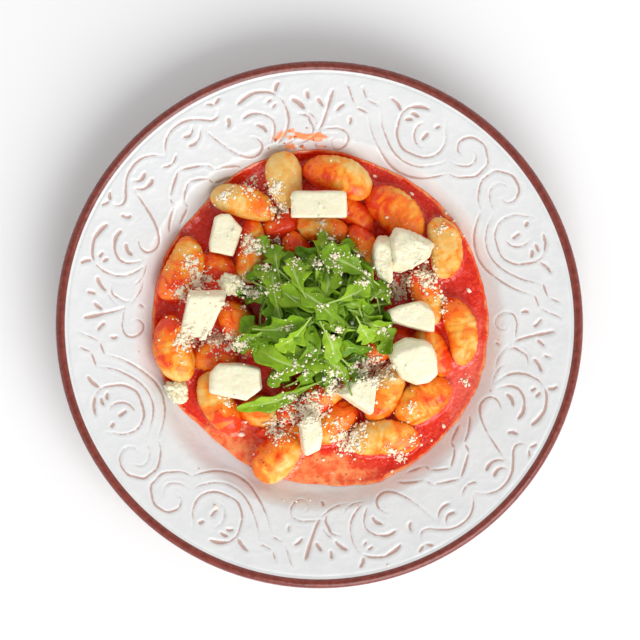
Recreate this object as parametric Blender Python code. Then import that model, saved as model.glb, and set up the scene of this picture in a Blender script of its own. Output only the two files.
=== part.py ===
"""Potato gnocchi in tomato sauce with mozzarella and rocket, on a wide-rimmed stoneware plate.

The plate stands on its ring foot. The origin is the middle of that foot, on the surface that the plate
stands on, with +Z up. Lengths are in metres: a value written as a number times MM is in millimetres.

The food is laid from the plate upwards. The dumplings settle over the well, the sauce is a shallow pool
with a pocket for each dumpling that dips into it, the cheese rests on the dumplings, and the rocket is
one heap over the middle. Soft pieces that press on each other are flattened where they meet.
"""

import math
from collections import namedtuple

import bmesh
import bpy
import numpy as np
from mathutils import Euler

MM = 0.001
GAP = 0.3 * MM  # air left between two pieces that touch

# The plate: a turned shape, described by half of its section.
PLATE_RADIUS = 135 * MM
WELL_FLOOR_RADIUS = 60 * MM
WELL_FLOOR_HEIGHT = 7 * MM
WELL_WALL_RADIUS = 85 * MM
WELL_WALL_HEIGHT = 12.6 * MM
WELL_CURVE_STEPS = (0.4, 0.7, 0.86, 1.0)
SHOULDER_RADIUS = 96 * MM
SHOULDER_HEIGHT = 21.4 * MM
SHOULDER_STEPS = ((0.28, 0.26), (0.5, 0.53), (0.73, 0.8), (1.0, 1.0))  # share across and share up
RIM_SLOPE = 0.24
RIM_BAND_WIDTH = 4.7 * MM
EDGE_ROLL_RADIUS = 2.2 * MM
EDGE_ROLL_ANGLES = (100, 55, 10, -35, -80)  # degrees above the horizontal
PLATE_WALL = 5 * MM
UNDERSIDE_RADII = (102 * MM, 92 * MM, 86 * MM, 79 * MM)
UNDERSIDE_SHIFT = 2 * MM  # the underside lies this much further out than the side above it
FOOT_OUTER_RADIUS = 74.5 * MM
FOOT_INNER_RADIUS = 70 * MM
FOOT_HEIGHT = 3.6 * MM
FOOT_RECESS = 2.2 * MM
FOOT_DRAFT = 1.2 * MM
PLATE_SIDES = 48

# The sauce: a pool with an uneven edge, given as its reach from the middle every 22.5 degrees from +X.
SAUCE_REACH = (86.5, 86.3, 87.2, 86.8, 89.5, 89, 85.5, 86.5, 86, 84.5, 79.5, 80.8, 82, 86.2, 85.8, 86.8)
SAUCE_LEVEL = 13 * MM
SAUCE_HEADING = math.radians(40)  # the way in which the pool lies a little higher
SAUCE_TILT = 0.014
SAUCE_LIP = 1 * MM
SAUCE_UNDER_DUMPLINGS = 1 * MM
SAUCE_TOP_RINGS = (0.3, 0.55, 0.75, 0.88, 0.95, 1.0)
SAUCE_BOTTOM_RINGS = (1.0, 0.95, 0.88, 0.8, 0.68)

# The rocket: a heap with an uneven outline, given as its reach every 22.5 degrees from +X.
HEAP_X = -1.7 * MM
HEAP_Y = 5.5 * MM
HEAP_REACH = (32, 34, 33, 40, 40, 26, 39, 29, 32, 40, 38, 39, 33, 35, 32, 38)
HEAP_TOP = 50 * MM
HEAP_EDGE = 2.2 * MM
HEAP_SIDES = 32
HEAP_TOP_RINGS = (0.2, 0.4, 0.6, 0.78, 0.92, 1.0)
HEAP_BOTTOM_RINGS = (0.97, 0.72, 0.42)
HEAP_ROUNDNESS = 0.85
HEAP_LUMPS = 1.8 * MM
HEAP_LUMP_COUNTS = (5, 8)
HEAP_CLEARANCE = 8 * MM

# Dumplings: the middle of each, its heading from +X, its length and width, how far it is lifted above
# the place where it would settle, the tilt of its nose, and how far its middle is bowed sideways.
Dumpling = namedtuple("Dumpling", "x y heading length width lift tilt bow")
DUMPLINGS = (
    Dumpling(-17.8, 74.5, -80, 29, 18.5, 0, 0, 0),
    Dumpling(9.5, 76.0, -20, 38, 19.5, 0, 0, 1.0),
    Dumpling(-39.1, 62.7, -18, 35, 16.5, 0, 0, 0.6),
    Dumpling(39.2, 57.6, -40, 36, 20.5, 0, 0, 0.8),
    Dumpling(64.2, 39.7, -82, 31.5, 17.5, 0, 0, 1.0),
    Dumpling(72.4, -3.2, -78, 35.5, 16.0, 0, 0, 1.2),
    Dumpling(53.0, -39.0, 35, 33, 20.0, 0, 0, 0.4),
    Dumpling(33.5, -58.2, 2, 36.5, 19.0, 0, 0, 0.8),
    Dumpling(-22.2, -68.4, 50, 28.5, 20.5, 0, 0, 0.4),
    Dumpling(-51.9, -40.6, -63, 35, 17.5, 0, 0, -0.8),
    Dumpling(-74.9, -12.4, -76, 34.5, 19.5, 0, 0, -0.8),
    Dumpling(-70.8, 28.0, 66, 35, 19.5, 0, 0, -1.4),
    Dumpling(-35.0, 38.2, 83, 34.5, 15.5, 2.0, 4, -0.6),
    Dumpling(-41.5, -1.4, -62, 30, 17.5, 2.0, 3, 0.4),
    Dumpling(-53.5, -16.5, 5, 25, 15.5, 0, 0, 0.4),
    Dumpling(-29.4, -45.7, -20, 25, 16.0, 0, 0, 0.5),
    Dumpling(-14.5, -41.0, 60, 25, 15.0, 1.0, 6, 0.4),
    Dumpling(1.2, -37.0, 35, 28, 16.0, 3.0, 8, 0.6),
    Dumpling(8.0, -50.5, 45, 26, 17.0, 0, 0, 0.4),
    Dumpling(33.5, -36.0, 65, 31, 17.5, 2.0, 2, -0.6),
    Dumpling(55.0, 14.2, -70, 31, 15.5, 1.5, -2, 0.8),
    Dumpling(58.6, -14.5, -62, 28, 15.5, 0, 0, 0.6),
    Dumpling(33.5, -10.4, 20, 27, 16.5, 1.0, 3, 0.5),
    Dumpling(22.8, 39.7, -72, 27, 14.0, 4.0, -4, 0.6),
    Dumpling(0.8, 49.5, -12, 28, 14.5, 3.0, 0, -0.6),
    Dumpling(-17.6, 50.5, 10, 27, 16.5, 0, 0, 0.6),
    Dumpling(17.7, 56.6, -40, 26, 15.5, 0, 0, 0.4),
    Dumpling(-10.9, 37.7, -75, 27, 15.0, 2.0, -4, 0.5),
    Dumpling(-53.9, 28.5, -15, 25, 16.0, 0, 0, 0.6),
    Dumpling(-19.6, -54.4, 5, 26, 14.5, 0, 0, 0.4),
)
DUMPLING_FLATNESS = 0.82  # height over width
DUMPLING_SIDES = 10
DUMPLING_STATIONS = (-0.93, -0.66, -0.24, 0.24, 0.66, 0.93)
DUMPLING_BLUNTNESS = 2.7  # 2 makes an ellipse, and more makes blunter ends
DUMPLING_UNEVENNESS = 0.07
DUMPLING_WAVES = 2
DUMPLING_TWIST = 3
DUMPLING_SEED = 11
FACING_COUNT = 700  # how many directions are tried for the plane that parts two pieces

# Cheese chunks: the middle of each, its height, how it leans about X and Y, how much narrower its top is
# than its base, and the corners of its plan around its middle.
Chunk = namedtuple("Chunk", "x y height lean_x lean_y taper corners")
CHUNKS = (
    Chunk(-0.5, 61.4, 10, 2, 0, 0.03,
          ((-14.6, -6.2), (-14.2, 6.2), (-13, 7), (14, 7.2), (14.9, 6), (14.8, -7), (13.4, -7.6))),
    Chunk(-48.6, 46.2, 11, 0, 3, 0.04,
          ((-8, -9), (-8.4, -4), (-5.2, 9.6), (-3, 10.8), (3.4, 10.6), (9.2, 4), (5, -7), (3.6, -11.2))),
    Chunk(-59.5, 4.6, 13, 13, 0, 0.05,
          ((-12, -7), (-7.6, 11.6), (-6, 12.8), (12, 12.8), (12.6, 10), (3, -9.4), (0.6, -11.4))),
    Chunk(-43.2, -29.2, 11, 2, -2, 0.04,
          ((-13.6, -5.8), (-13.4, 5), (-9, 9.2), (3, 9.6), (13, 7.4), (14, -3), (5.6, -10.2), (2.6, -9.6))),
    Chunk(-4.4, -57.6, 12, 7, 0, 0.06,
          ((-6.6, 5.4), (-3.4, 11.2), (1.6, 12), (5.6, 8.4), (6.3, 0), (5.2, -6.4), (-2, -9.8), (-5, -7.6))),
    Chunk(20.8, -36.0, 12, -4, 10, 0.1,
          ((-12, 1.6), (-4.6, 8.4), (7.6, 8.4), (9, 7.2), (7, -10), (5.6, -10.8))),
    Chunk(49.4, -19.1, 13, 5, 5, 0.09,
          ((-14.2, 2.2), (-12.4, 8), (-5, 13), (4, 11.4), (9, 8.2), (14.2, -3.2), (7, -11), (0.4, -12.6),
           (-8.6, -8.6))),
    Chunk(46.8, 4.2, 11, -2, 3, 0.06,
          ((-13.6, -1.4), (-13, 2.6), (-4.6, 6.6), (4, 8.4), (9.4, 6.6), (12.6, 0), (12.8, -8), (11, -8.8),
           (2, -6.6))),
    Chunk(30.9, 33.8, 12, 0, 4, 0.12,
          ((-5.8, 6), (-2.4, 11.6), (1.2, 11.8), (3.4, 9), (4.2, -7.6), (2.6, -12.4), (-2.6, -8),
           (-5.6, -2))),
    Chunk(47.2, 38.2, 14, 6, 6, 0.24,
          ((-11.2, -9.6), (-11.4, 6.6), (-7.2, 12.2), (4.2, 7.2), (12.8, 2), (9.4, -5), (2.4, -9.4),
           (-5, -12.2))),
    Chunk(-44.7, 20.8, 8, 3, 3, 0.2,
          ((-8, 1), (-3.4, 5.6), (1.6, 5.8), (6, 1), (8.4, -3.2), (4, -5.6), (-1.6, -5.8), (-5, -2.6))),
    Chunk(-74.2, -35.0, 8, 0, 10, 0.14,
          ((-6, 2.8), (-3, 6), (4.4, 5.6), (6.4, 2), (6, -4.6), (3.4, -6.2), (-2.6, -3.4))),
)
CHUNK_CHAMFER = 1 * MM
CHUNK_SINK = 1.4 * MM  # how far a chunk presses into what it rests on

STONEWARE = (0.86, 0.86, 0.85)
TOMATO = (0.62, 0.05, 0.02)
DOUGH = (0.85, 0.42, 0.12)
CHEESE = (0.93, 0.9, 0.76)
LEAF = (0.16, 0.36, 0.05)


def clear_scene():
    for thing in list(bpy.data.objects):
        bpy.data.objects.remove(thing)


def finish_named(name, colour, roughness):
    finish = bpy.data.materials.new(name)
    finish.use_nodes = True
    shader = finish.node_tree.nodes["Principled BSDF"]
    shader.inputs["Base Color"].default_value = (*colour, 1)
    shader.inputs["Roughness"].default_value = roughness
    return finish


def add_object(name, shape, finish, collection=None):
    """An object of a bmesh, which is used up, with its faces turned outwards."""
    bmesh.ops.recalc_face_normals(shape, faces=shape.faces)
    mesh = bpy.data.meshes.new(name)
    shape.to_mesh(mesh)
    shape.free()
    mesh.shade_smooth()
    mesh.set_sharp_from_angle(angle=math.radians(35))
    mesh.materials.append(finish)
    made = bpy.data.objects.new(name, mesh)
    (collection or bpy.context.scene.collection).objects.link(made)
    return made


def closed_skin(points, sides):
    """A closed bmesh over points listed as a first pole, whole rings of `sides` points, and a last pole."""
    shape = bmesh.new()
    corners = [shape.verts.new(point) for point in points]
    rings = [corners[first : first + sides] for first in range(1, len(corners) - 1, sides)]
    for side in range(sides):
        after = (side + 1) % sides
        shape.faces.new((corners[0], rings[0][side], rings[0][after]))
        shape.faces.new((corners[-1], rings[-1][after], rings[-1][side]))
        for near, far in zip(rings, rings[1:]):
            shape.faces.new((near[side], far[side], far[after]))
            shape.faces.new((near[side], far[after], near[after]))
    return shape


def ring_angles(sides):
    return np.arange(sides) * (2 * math.pi / sides)


def eating_side():
    """Radius and height of the plate's upper side, from the middle to the band at the rim."""
    section = [(0, WELL_FLOOR_HEIGHT), (WELL_FLOOR_RADIUS, WELL_FLOOR_HEIGHT)]
    width = WELL_WALL_RADIUS - WELL_FLOOR_RADIUS
    rise = WELL_WALL_HEIGHT - WELL_FLOOR_HEIGHT
    for share in WELL_CURVE_STEPS:
        section.append((WELL_FLOOR_RADIUS + width * share, WELL_FLOOR_HEIGHT + rise * share**2))
    width = SHOULDER_RADIUS - WELL_WALL_RADIUS
    rise = SHOULDER_HEIGHT - WELL_WALL_HEIGHT
    for across, up in SHOULDER_STEPS:
        section.append((WELL_WALL_RADIUS + width * across, WELL_WALL_HEIGHT + rise * up))
    band = PLATE_RADIUS - RIM_BAND_WIDTH
    section.append((band, SHOULDER_HEIGHT + RIM_SLOPE * (band - SHOULDER_RADIUS)))
    return section


def floor_height(radius):
    """Height of the plate's eating side at this distance from its middle."""
    radii, heights = zip(*eating_side())
    return np.interp(radius, radii, heights)


def rolled_edge():
    """Radius and height round the plate's outer edge, from its top to its underside."""
    middle = eating_side()[-1][1] - EDGE_ROLL_RADIUS / 2
    angles = [math.radians(angle) for angle in EDGE_ROLL_ANGLES]
    out = PLATE_RADIUS - EDGE_ROLL_RADIUS
    return [(out + EDGE_ROLL_RADIUS * math.cos(a), middle + EDGE_ROLL_RADIUS * math.sin(a)) for a in angles]


def underside():
    """Radius and height of the underside and the foot, from the rim to the middle."""
    section = [(radius + UNDERSIDE_SHIFT, floor_height(radius) - PLATE_WALL) for radius in UNDERSIDE_RADII]
    section += [(FOOT_OUTER_RADIUS + FOOT_DRAFT, FOOT_HEIGHT), (FOOT_OUTER_RADIUS, 0), (FOOT_INNER_RADIUS, 0)]
    section += [(FOOT_INNER_RADIUS - FOOT_DRAFT, FOOT_RECESS), (0, FOOT_RECESS)]
    return section


def add_plate(finish):
    """The plate: its section turned round +Z."""
    section = eating_side() + rolled_edge() + underside()
    shape = bmesh.new()
    corners = [shape.verts.new((radius, 0, height)) for radius, height in section]
    for start, end in zip(corners, corners[1:]):
        shape.edges.new((start, end))
    plate = add_object("plate", shape, finish)
    turn = plate.modifiers.new("Turned", "SCREW")
    turn.steps = PLATE_SIDES
    turn.render_steps = PLATE_SIDES
    turn.use_merge_vertices = True
    turn.merge_threshold = 0.01 * MM
    turn.use_smooth_shade = True
    return plate


def placed(points, turn, middle):
    return points @ np.array(turn.to_matrix()).T + np.array(middle)


def dumpling_points(dumpling, chance):
    """The bar of dough: rings across +X whose width follows a blunt oval, bowed and a little uneven."""
    half = 0.5 * MM * np.array([dumpling.length, dumpling.width, dumpling.width * DUMPLING_FLATNESS])
    along = np.array(DUMPLING_STATIONS)[:, None] * np.ones(DUMPLING_SIDES)
    around = ring_angles(DUMPLING_SIDES)[None, :] * np.ones_like(along)
    swell = (1 - np.abs(along) ** DUMPLING_BLUNTNESS) ** 0.5
    swell = swell * (1 + chance.uniform(-1, 1) * DUMPLING_UNEVENNESS * along)
    twist = DUMPLING_WAVES * around + DUMPLING_TWIST * along + chance.uniform(0, 2 * math.pi)
    swell = swell * (1 + DUMPLING_UNEVENNESS * np.sin(twist))
    bow = dumpling.bow * MM * (1 - 3 * along**2)
    across = swell * np.cos(around) * half[1] + bow
    rings = np.stack([along * half[0], across, swell * np.sin(around) * half[2]], 2)
    end = np.array([half[0], -2 * dumpling.bow * MM, 0])
    points = np.vstack([end * (-1, 1, 1), rings.reshape(-1, 3), end])
    turn = Euler((0, math.radians(dumpling.tilt), math.radians(dumpling.heading)))
    return placed(points, turn, (dumpling.x * MM, dumpling.y * MM, 0))


def settled(points, lift):
    """The points moved up until they clear the plate, with the sauce's thinnest layer under them."""
    clear = floor_height(np.hypot(points[:, 0], points[:, 1])) + GAP + SAUCE_UNDER_DUMPLINGS + GAP
    return points + np.array([0, 0, (clear - points[:, 2]).max() + lift])


def directions(count):
    """Unit vectors spread evenly over a sphere, along a spiral from pole to pole."""
    step = np.arange(count) + 0.5
    height = 1 - 2 * step / count
    turn = math.pi * (1 + 5**0.5) * step
    across = np.sqrt(1 - height**2)
    return np.stack([across * np.cos(turn), across * np.sin(turn), height], 1)


FACINGS = directions(FACING_COUNT)


def plane_between(first, second):
    """The unit normal, from first to second, of the plane that parts them best, and the reach of each."""
    reach_first = (FACINGS @ first.T).max(1)
    reach_second = (FACINGS @ second.T).min(1)
    best = np.argmax(reach_second - reach_first)
    return FACINGS[best], reach_first[best], reach_second[best]


def pressed(points, normal, limit):
    """Points past the plane drawn in towards the middle of the piece until they lie on the plane."""
    middle = points.mean(0)
    reach = (points - middle) @ normal
    room = limit - middle @ normal
    past = reach > room
    drawn = points.copy()
    drawn[past] = middle + (points[past] - middle) * (room / reach[past])[:, None]
    return drawn


def press_together(pieces, first, second, share):
    """Part two pieces that would overlap: the first gives way by `share` of the overlap."""
    normal, reach_first, reach_second = plane_between(pieces[first], pieces[second])
    overlap = reach_first - reach_second + GAP
    if overlap <= 0:
        return
    limit = reach_first - overlap * share
    pieces[first] = pressed(pieces[first], normal, limit)
    if share < 1:
        pieces[second] = pressed(pieces[second], -normal, -limit - GAP)


def chunk_points(chunk):
    """A chunk of cheese: its plan drawn up in four steps, so that the top and bottom edges are chamfered."""
    plan = np.array(chunk.corners) * MM
    inset = plan * (1 - CHUNK_CHAMFER / np.linalg.norm(plan, axis=1))[:, None]
    height = chunk.height * MM
    steps = ((inset, 0), (plan, CHUNK_CHAMFER), (plan, height - CHUNK_CHAMFER), (inset, height))
    rows = []
    for corners, level in steps:
        narrowed = corners * (1 - chunk.taper * level / height)
        rows.append(np.column_stack([narrowed, np.full(len(plan), level - height / 2)]))
    turn = Euler((math.radians(chunk.lean_x), math.radians(chunk.lean_y), 0))
    return placed(np.vstack(rows), turn, (chunk.x * MM, chunk.y * MM, 0))


def rested(points, below):
    """The points let down until they press by CHUNK_SINK into what lies below them, or reach the plate."""
    floor = floor_height(np.hypot(points[:, 0], points[:, 1])) + 2 * GAP + SAUCE_UNDER_DUMPLINGS
    drop = (floor - points[:, 2]).max()
    low, high = points[:, :2].min(0), points[:, :2].max(0)
    base = points[:, 2].min()
    for other in below:
        under = ((other[:, :2] > low) & (other[:, :2] < high)).all(1)
        if under.any():
            drop = max(drop, other[under, 2].max() - CHUNK_SINK - base)
    return points + np.array([0, 0, drop])


def hull_of(points):
    shape = bmesh.new()
    for point in points:
        shape.verts.new(point)
    made = bmesh.ops.convex_hull(shape, input=shape.verts)
    left_over = set(made["geom_interior"] + made["geom_unused"])
    inside = [item for item in left_over if isinstance(item, bmesh.types.BMVert)]
    bmesh.ops.delete(shape, geom=inside, context="VERTS")
    return shape


def outline(reaches, angle):
    """Distance of a closed outline at each angle: an even blend from one listed reach to the next."""
    place = angle / (2 * math.pi) * len(reaches)
    near = np.floor(place).astype(int)
    share = place - near
    blend = share * share * (3 - 2 * share)
    reach = np.array(reaches) * MM
    return reach[near % len(reaches)] * (1 - blend) + reach[(near + 1) % len(reaches)] * blend


def add_sauce(dumplings, finish):
    """The pool: it follows the plate below and rises to its wall, with a pocket for each dumpling."""
    angle = ring_angles(PLATE_SIDES)
    edge = outline(SAUCE_REACH, angle)
    sideways = np.stack([np.cos(angle), np.sin(angle)], 1)
    tilt = SAUCE_TILT * np.array([math.cos(SAUCE_HEADING), math.sin(SAUCE_HEADING)])
    rows = []
    for share in SAUCE_TOP_RINGS:
        plan = sideways * (edge * share)[:, None]
        level = SAUCE_LEVEL + plan @ tilt
        film = floor_height(edge * share) + GAP + SAUCE_LIP
        rows.append(np.column_stack([plan, np.maximum(level, film)]))
    for share in SAUCE_BOTTOM_RINGS:
        plan = sideways * (edge * share)[:, None]
        rows.append(np.column_stack([plan, floor_height(edge * share) + GAP]))
    top = (0, 0, SAUCE_LEVEL)
    bottom = (0, 0, WELL_FLOOR_HEIGHT + GAP)
    sauce = add_object("sauce", closed_skin(np.vstack([top, *rows, bottom]), PLATE_SIDES), finish)
    pockets = bpy.data.collections.new("pockets")
    bpy.context.scene.collection.children.link(pockets)
    for number, points in enumerate(dumplings, 1):
        add_cutter(f"pocket_{number:02d}", points, pockets, finish)
    cut = sauce.modifiers.new("Pockets", "BOOLEAN")
    cut.operation = "DIFFERENCE"
    cut.solver = "EXACT"
    cut.operand_type = "COLLECTION"
    cut.collection = pockets
    return sauce


def add_cutter(name, points, collection, finish):
    """The dumpling grown by the gap all round, left out of the object itself."""
    shape = closed_skin(points, DUMPLING_SIDES)
    bmesh.ops.recalc_face_normals(shape, faces=shape.faces)
    shape.normal_update()
    outward = [corner.normal * corner.calc_shell_factor() for corner in shape.verts]
    for corner, away in zip(shape.verts, outward):
        corner.co += away * GAP
    cutter = add_object(name, shape, finish, collection)
    cutter.hide_render = True
    cutter.display_type = "WIRE"
    return cutter


def heap_underside(plan, pieces):
    """Just above the tallest piece nearby, or above the sauce where there is none."""
    level = np.full(len(plan), SAUCE_LEVEL + SAUCE_LIP)
    for points in pieces:
        away = np.linalg.norm(plan[:, None] - points[None, :, :2], axis=2).min(1)
        level = np.where(away < HEAP_CLEARANCE, np.maximum(level, points[:, 2].max() + 2 * GAP), level)
    return level


def add_heap(pieces, finish):
    """The rocket: a lumpy dome over an uneven outline, with an underside that clears what it lies on."""
    angle = ring_angles(HEAP_SIDES)
    sideways = np.stack([np.cos(angle), np.sin(angle)], 1)
    reach = outline(HEAP_REACH, angle)
    middle = np.array([HEAP_X, HEAP_Y])
    rows = []
    for share in HEAP_TOP_RINGS:
        plan = middle + sideways * (reach * share)[:, None]
        under = heap_underside(plan, pieces) + HEAP_EDGE
        lumps = sum(np.sin(count * (angle + share)) for count in HEAP_LUMP_COUNTS)
        lumps = HEAP_LUMPS * lumps * share * (1 - share**4)
        dome = under + (HEAP_TOP - under) * (1 - share**2) ** HEAP_ROUNDNESS + lumps
        rows.append(np.column_stack([plan, dome]))
    for share in HEAP_BOTTOM_RINGS:
        plan = middle + sideways * (reach * share)[:, None]
        rows.append(np.column_stack([plan, heap_underside(plan, pieces)]))
    top = (HEAP_X, HEAP_Y, HEAP_TOP)
    bottom = (HEAP_X, HEAP_Y, heap_underside(middle[None], pieces)[0])
    return add_object("rocket", closed_skin(np.vstack([top, *rows, bottom]), HEAP_SIDES), finish)


def laid_dumplings():
    """Each dumpling's points, settled over the plate and pressed against its neighbours."""
    chance = np.random.default_rng(DUMPLING_SEED)
    pieces = [settled(dumpling_points(dumpling, chance), dumpling.lift * MM) for dumpling in DUMPLINGS]
    for first in range(len(pieces)):
        for second in range(first + 1, len(pieces)):
            press_together(pieces, first, second, 0.5)
    return pieces


def main():
    clear_scene()
    add_plate(finish_named("glazed_stoneware", STONEWARE, 0.2))

    dumplings = laid_dumplings()
    chunks = [rested(chunk_points(chunk), dumplings) for chunk in CHUNKS]
    pieces = dumplings + chunks
    for first in range(len(dumplings)):
        for second in range(len(dumplings), len(pieces)):
            press_together(pieces, first, second, 1)
    dumplings = pieces[: len(dumplings)]

    add_sauce(dumplings, finish_named("tomato_sauce", TOMATO, 0.25))
    dough = finish_named("dumpling_dough", DOUGH, 0.4)
    for number, points in enumerate(dumplings, 1):
        add_object(f"gnocchi_{number:02d}", closed_skin(points, DUMPLING_SIDES), dough)
    cheese = finish_named("mozzarella", CHEESE, 0.5)
    for number, points in enumerate(chunks, 1):
        add_object(f"mozzarella_{number:02d}", hull_of(points), cheese)
    add_heap(pieces, finish_named("rocket_leaves", LEAF, 0.5))


main()
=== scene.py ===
"""Looks of the gnocchi dish: glazed plate with scroll relief, tomato sauce, dumplings, cheese and rocket.

Lengths are in millimetres until a mesh is made. Every piece is a surface worked out on a grid of numbers.
"""

import math

import bpy
import numpy as np
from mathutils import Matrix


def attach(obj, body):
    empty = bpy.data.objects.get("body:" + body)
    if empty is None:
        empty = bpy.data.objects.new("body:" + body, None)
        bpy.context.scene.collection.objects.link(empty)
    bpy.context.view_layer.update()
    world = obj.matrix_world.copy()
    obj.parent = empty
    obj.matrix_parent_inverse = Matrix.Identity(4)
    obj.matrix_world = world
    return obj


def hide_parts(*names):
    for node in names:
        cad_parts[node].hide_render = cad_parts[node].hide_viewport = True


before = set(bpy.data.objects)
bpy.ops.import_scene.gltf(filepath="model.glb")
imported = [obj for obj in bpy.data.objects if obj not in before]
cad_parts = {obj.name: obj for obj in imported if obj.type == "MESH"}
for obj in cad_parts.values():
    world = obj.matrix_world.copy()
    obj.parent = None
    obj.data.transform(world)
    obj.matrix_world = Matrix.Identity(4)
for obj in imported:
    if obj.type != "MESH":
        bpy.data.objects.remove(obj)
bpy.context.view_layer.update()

MM = 0.001
WHOLE_TURN = 2 * math.pi


# ---------------------------------------------------------------- numbers and meshes


def smoothstep(low, high, value):
    """0 below low, 1 above high, and 3t^2 - 2t^3 in between."""
    share = np.clip((value - low) / (high - low), 0, 1)
    return share * share * (3 - 2 * share)


def lattice_noise(points, seed):
    """Noise from -1 to 1: a scrambled value at each corner of a unit lattice, blended by smoothstep."""
    cell = np.floor(points).astype(np.int64)
    share = points - cell
    share = share * share * (3 - 2 * share)
    total = np.zeros(points.shape[:-1])
    for corner in np.ndindex(2, 2, 2):
        x, y, z = np.moveaxis(cell + corner, -1, 0)
        mixed = (x * 73856093) ^ (y * 19349663) ^ (z * 83492791) ^ (seed * 7919)
        mixed = ((mixed ^ (mixed >> 13)) * 1274126177) & 0xFFFFFFFF
        value = ((mixed ^ (mixed >> 15)) & 0xFFFF) / 0x8000 - 1
        total += value * np.where(corner, share, 1 - share).prod(-1)
    return total


def noise(points, size, seed, octaves=3):
    """Layers of lattice noise, each half as large and half as strong as the one before."""
    total = np.zeros(points.shape[:-1])
    for octave in range(octaves):
        total += lattice_noise(points * (2**octave / size), seed + octave) / 2**octave
    return total / (2 - 2 ** (1 - octaves))


def spline(points, steps):
    """A smooth line through points: cubics whose slope at a point is half the way between its neighbours."""
    points = np.asarray(points, float)
    ends = 2 * points[0] - points[1], 2 * points[-1] - points[-2]
    padded = np.vstack([ends[0], points, ends[1]])
    share = (np.arange(steps) / steps)[None, :, None]
    a, b, c, d = (padded[first : len(padded) - 3 + first, None] for first in range(4))
    line = b + share / 2 * (c - a + share * (2 * a - 5 * b + 4 * c - d + share * (3 * (b - c) + d - a)))
    return np.vstack([line.reshape(-1, points.shape[1]), points[-1:]])


def skin(rows, columns):
    """Faces of a closed skin: a fan at the first pole, quads between rows that each close on themselves, and
    a fan at the last pole."""
    column = np.arange(columns)
    after = (column + 1) % columns
    last = 1 + rows * columns
    start = last - columns
    caps = [np.stack([np.zeros(columns, int), 1 + after, 1 + column], 1)]
    caps.append(np.stack([np.full(columns, last), start + column, start + after], 1))
    base = 1 + np.arange(rows - 1)[:, None] * columns
    corners = (base + column, base + after, base + columns + after, base + columns + column)
    return np.vstack(caps), np.stack([corner.ravel() for corner in corners], 1)


def repeated(faces, bodies, points):
    """The same faces for each of a number of bodies with the same number of points."""
    return (faces[None] + np.arange(bodies)[:, None, None] * points).reshape(-1, faces.shape[1])


def as_triangles(faces):
    """All of (triangles, quads) as triangles, with every quad cut along the same diagonal."""
    triangles, quads = faces
    return np.vstack([triangles, quads[:, [0, 1, 2]], quads[:, [0, 2, 3]]])


def add_piece(name, points, faces, finish, slot, stands_for=(), **layers):
    """A piece from points in millimetres and its (triangles, quads), turned to face outwards: the sum of the
    tetrahedra between its triangles and the origin is negative when they face inwards."""
    triangles, quads = faces
    a, b, c = (points[corner] for corner in as_triangles(faces).T)
    if np.einsum("ij,ij->", a, np.cross(b, c)) < 0:
        triangles, quads = triangles[:, ::-1], quads[:, ::-1]
    mesh = bpy.data.meshes.new(name)
    mesh.vertices.add(len(points))
    mesh.vertices.foreach_set("co", (points * MM).astype(np.float32).ravel())
    corners = np.concatenate([triangles.ravel(), quads.ravel()])
    mesh.loops.add(len(corners))
    mesh.loops.foreach_set("vertex_index", corners.astype(np.int32))
    starts = np.concatenate([np.arange(len(triangles)) * 3, triangles.size + np.arange(len(quads)) * 4])
    mesh.polygons.add(len(starts))
    mesh.polygons.foreach_set("loop_start", starts.astype(np.int32))
    mesh.update(calc_edges=True)
    mesh.shade_smooth()
    for layer, values in layers.items():
        made = mesh.attributes.new(layer, "FLOAT", "POINT")
        made.data.foreach_set("value", np.asarray(values, np.float32).ravel())
    mesh.materials.append(finish)
    piece = bpy.data.objects.new(name, mesh)
    bpy.context.scene.collection.objects.link(piece)
    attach(piece, "root")
    if stands_for:
        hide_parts(*stands_for)


def shell_of(node):
    """The corners of a CAD node's triangles, in millimetres."""
    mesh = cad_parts[node].data
    mesh.calc_loop_triangles()
    points = np.empty(len(mesh.vertices) * 3)
    mesh.vertices.foreach_get("co", points)
    corners = np.empty(len(mesh.loop_triangles) * 3, np.int32)
    mesh.loop_triangles.foreach_get("vertices", corners)
    return points.reshape(-1, 3)[corners].reshape(-1, 3, 3) / MM


# ---------------------------------------------------------------- materials


class Socket:
    """An output of a shader node. Operators on it add Math nodes."""

    def __init__(self, recipe, output):
        self.recipe = recipe
        self.output = output

    def math(self, operation, *values):
        """A Math node over the values, or over this socket alone when there are none."""
        return self.recipe.node("ShaderNodeMath", {"operation": operation}, dict(enumerate(values or [self])))

    def __add__(self, other):
        return self.math("ADD", self, other)

    def __sub__(self, other):
        return self.math("SUBTRACT", self, other)

    def __mul__(self, other):
        return self.math("MULTIPLY", self, other)

    def __rsub__(self, other):
        return self.math("SUBTRACT", other, self)

    __radd__ = __add__
    __rmul__ = __mul__

    def least(self, other):
        """The lesser of the two."""
        return self.math("MINIMUM", self, other)

    def step(self, low, high):
        """0 at low and 1 at high, smooth in between; low may be the larger."""
        values = {"Value": self, "From Min": low, "From Max": high}
        return self.recipe.node("ShaderNodeMapRange", {"interpolation_type": "SMOOTHSTEP"}, values)


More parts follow.
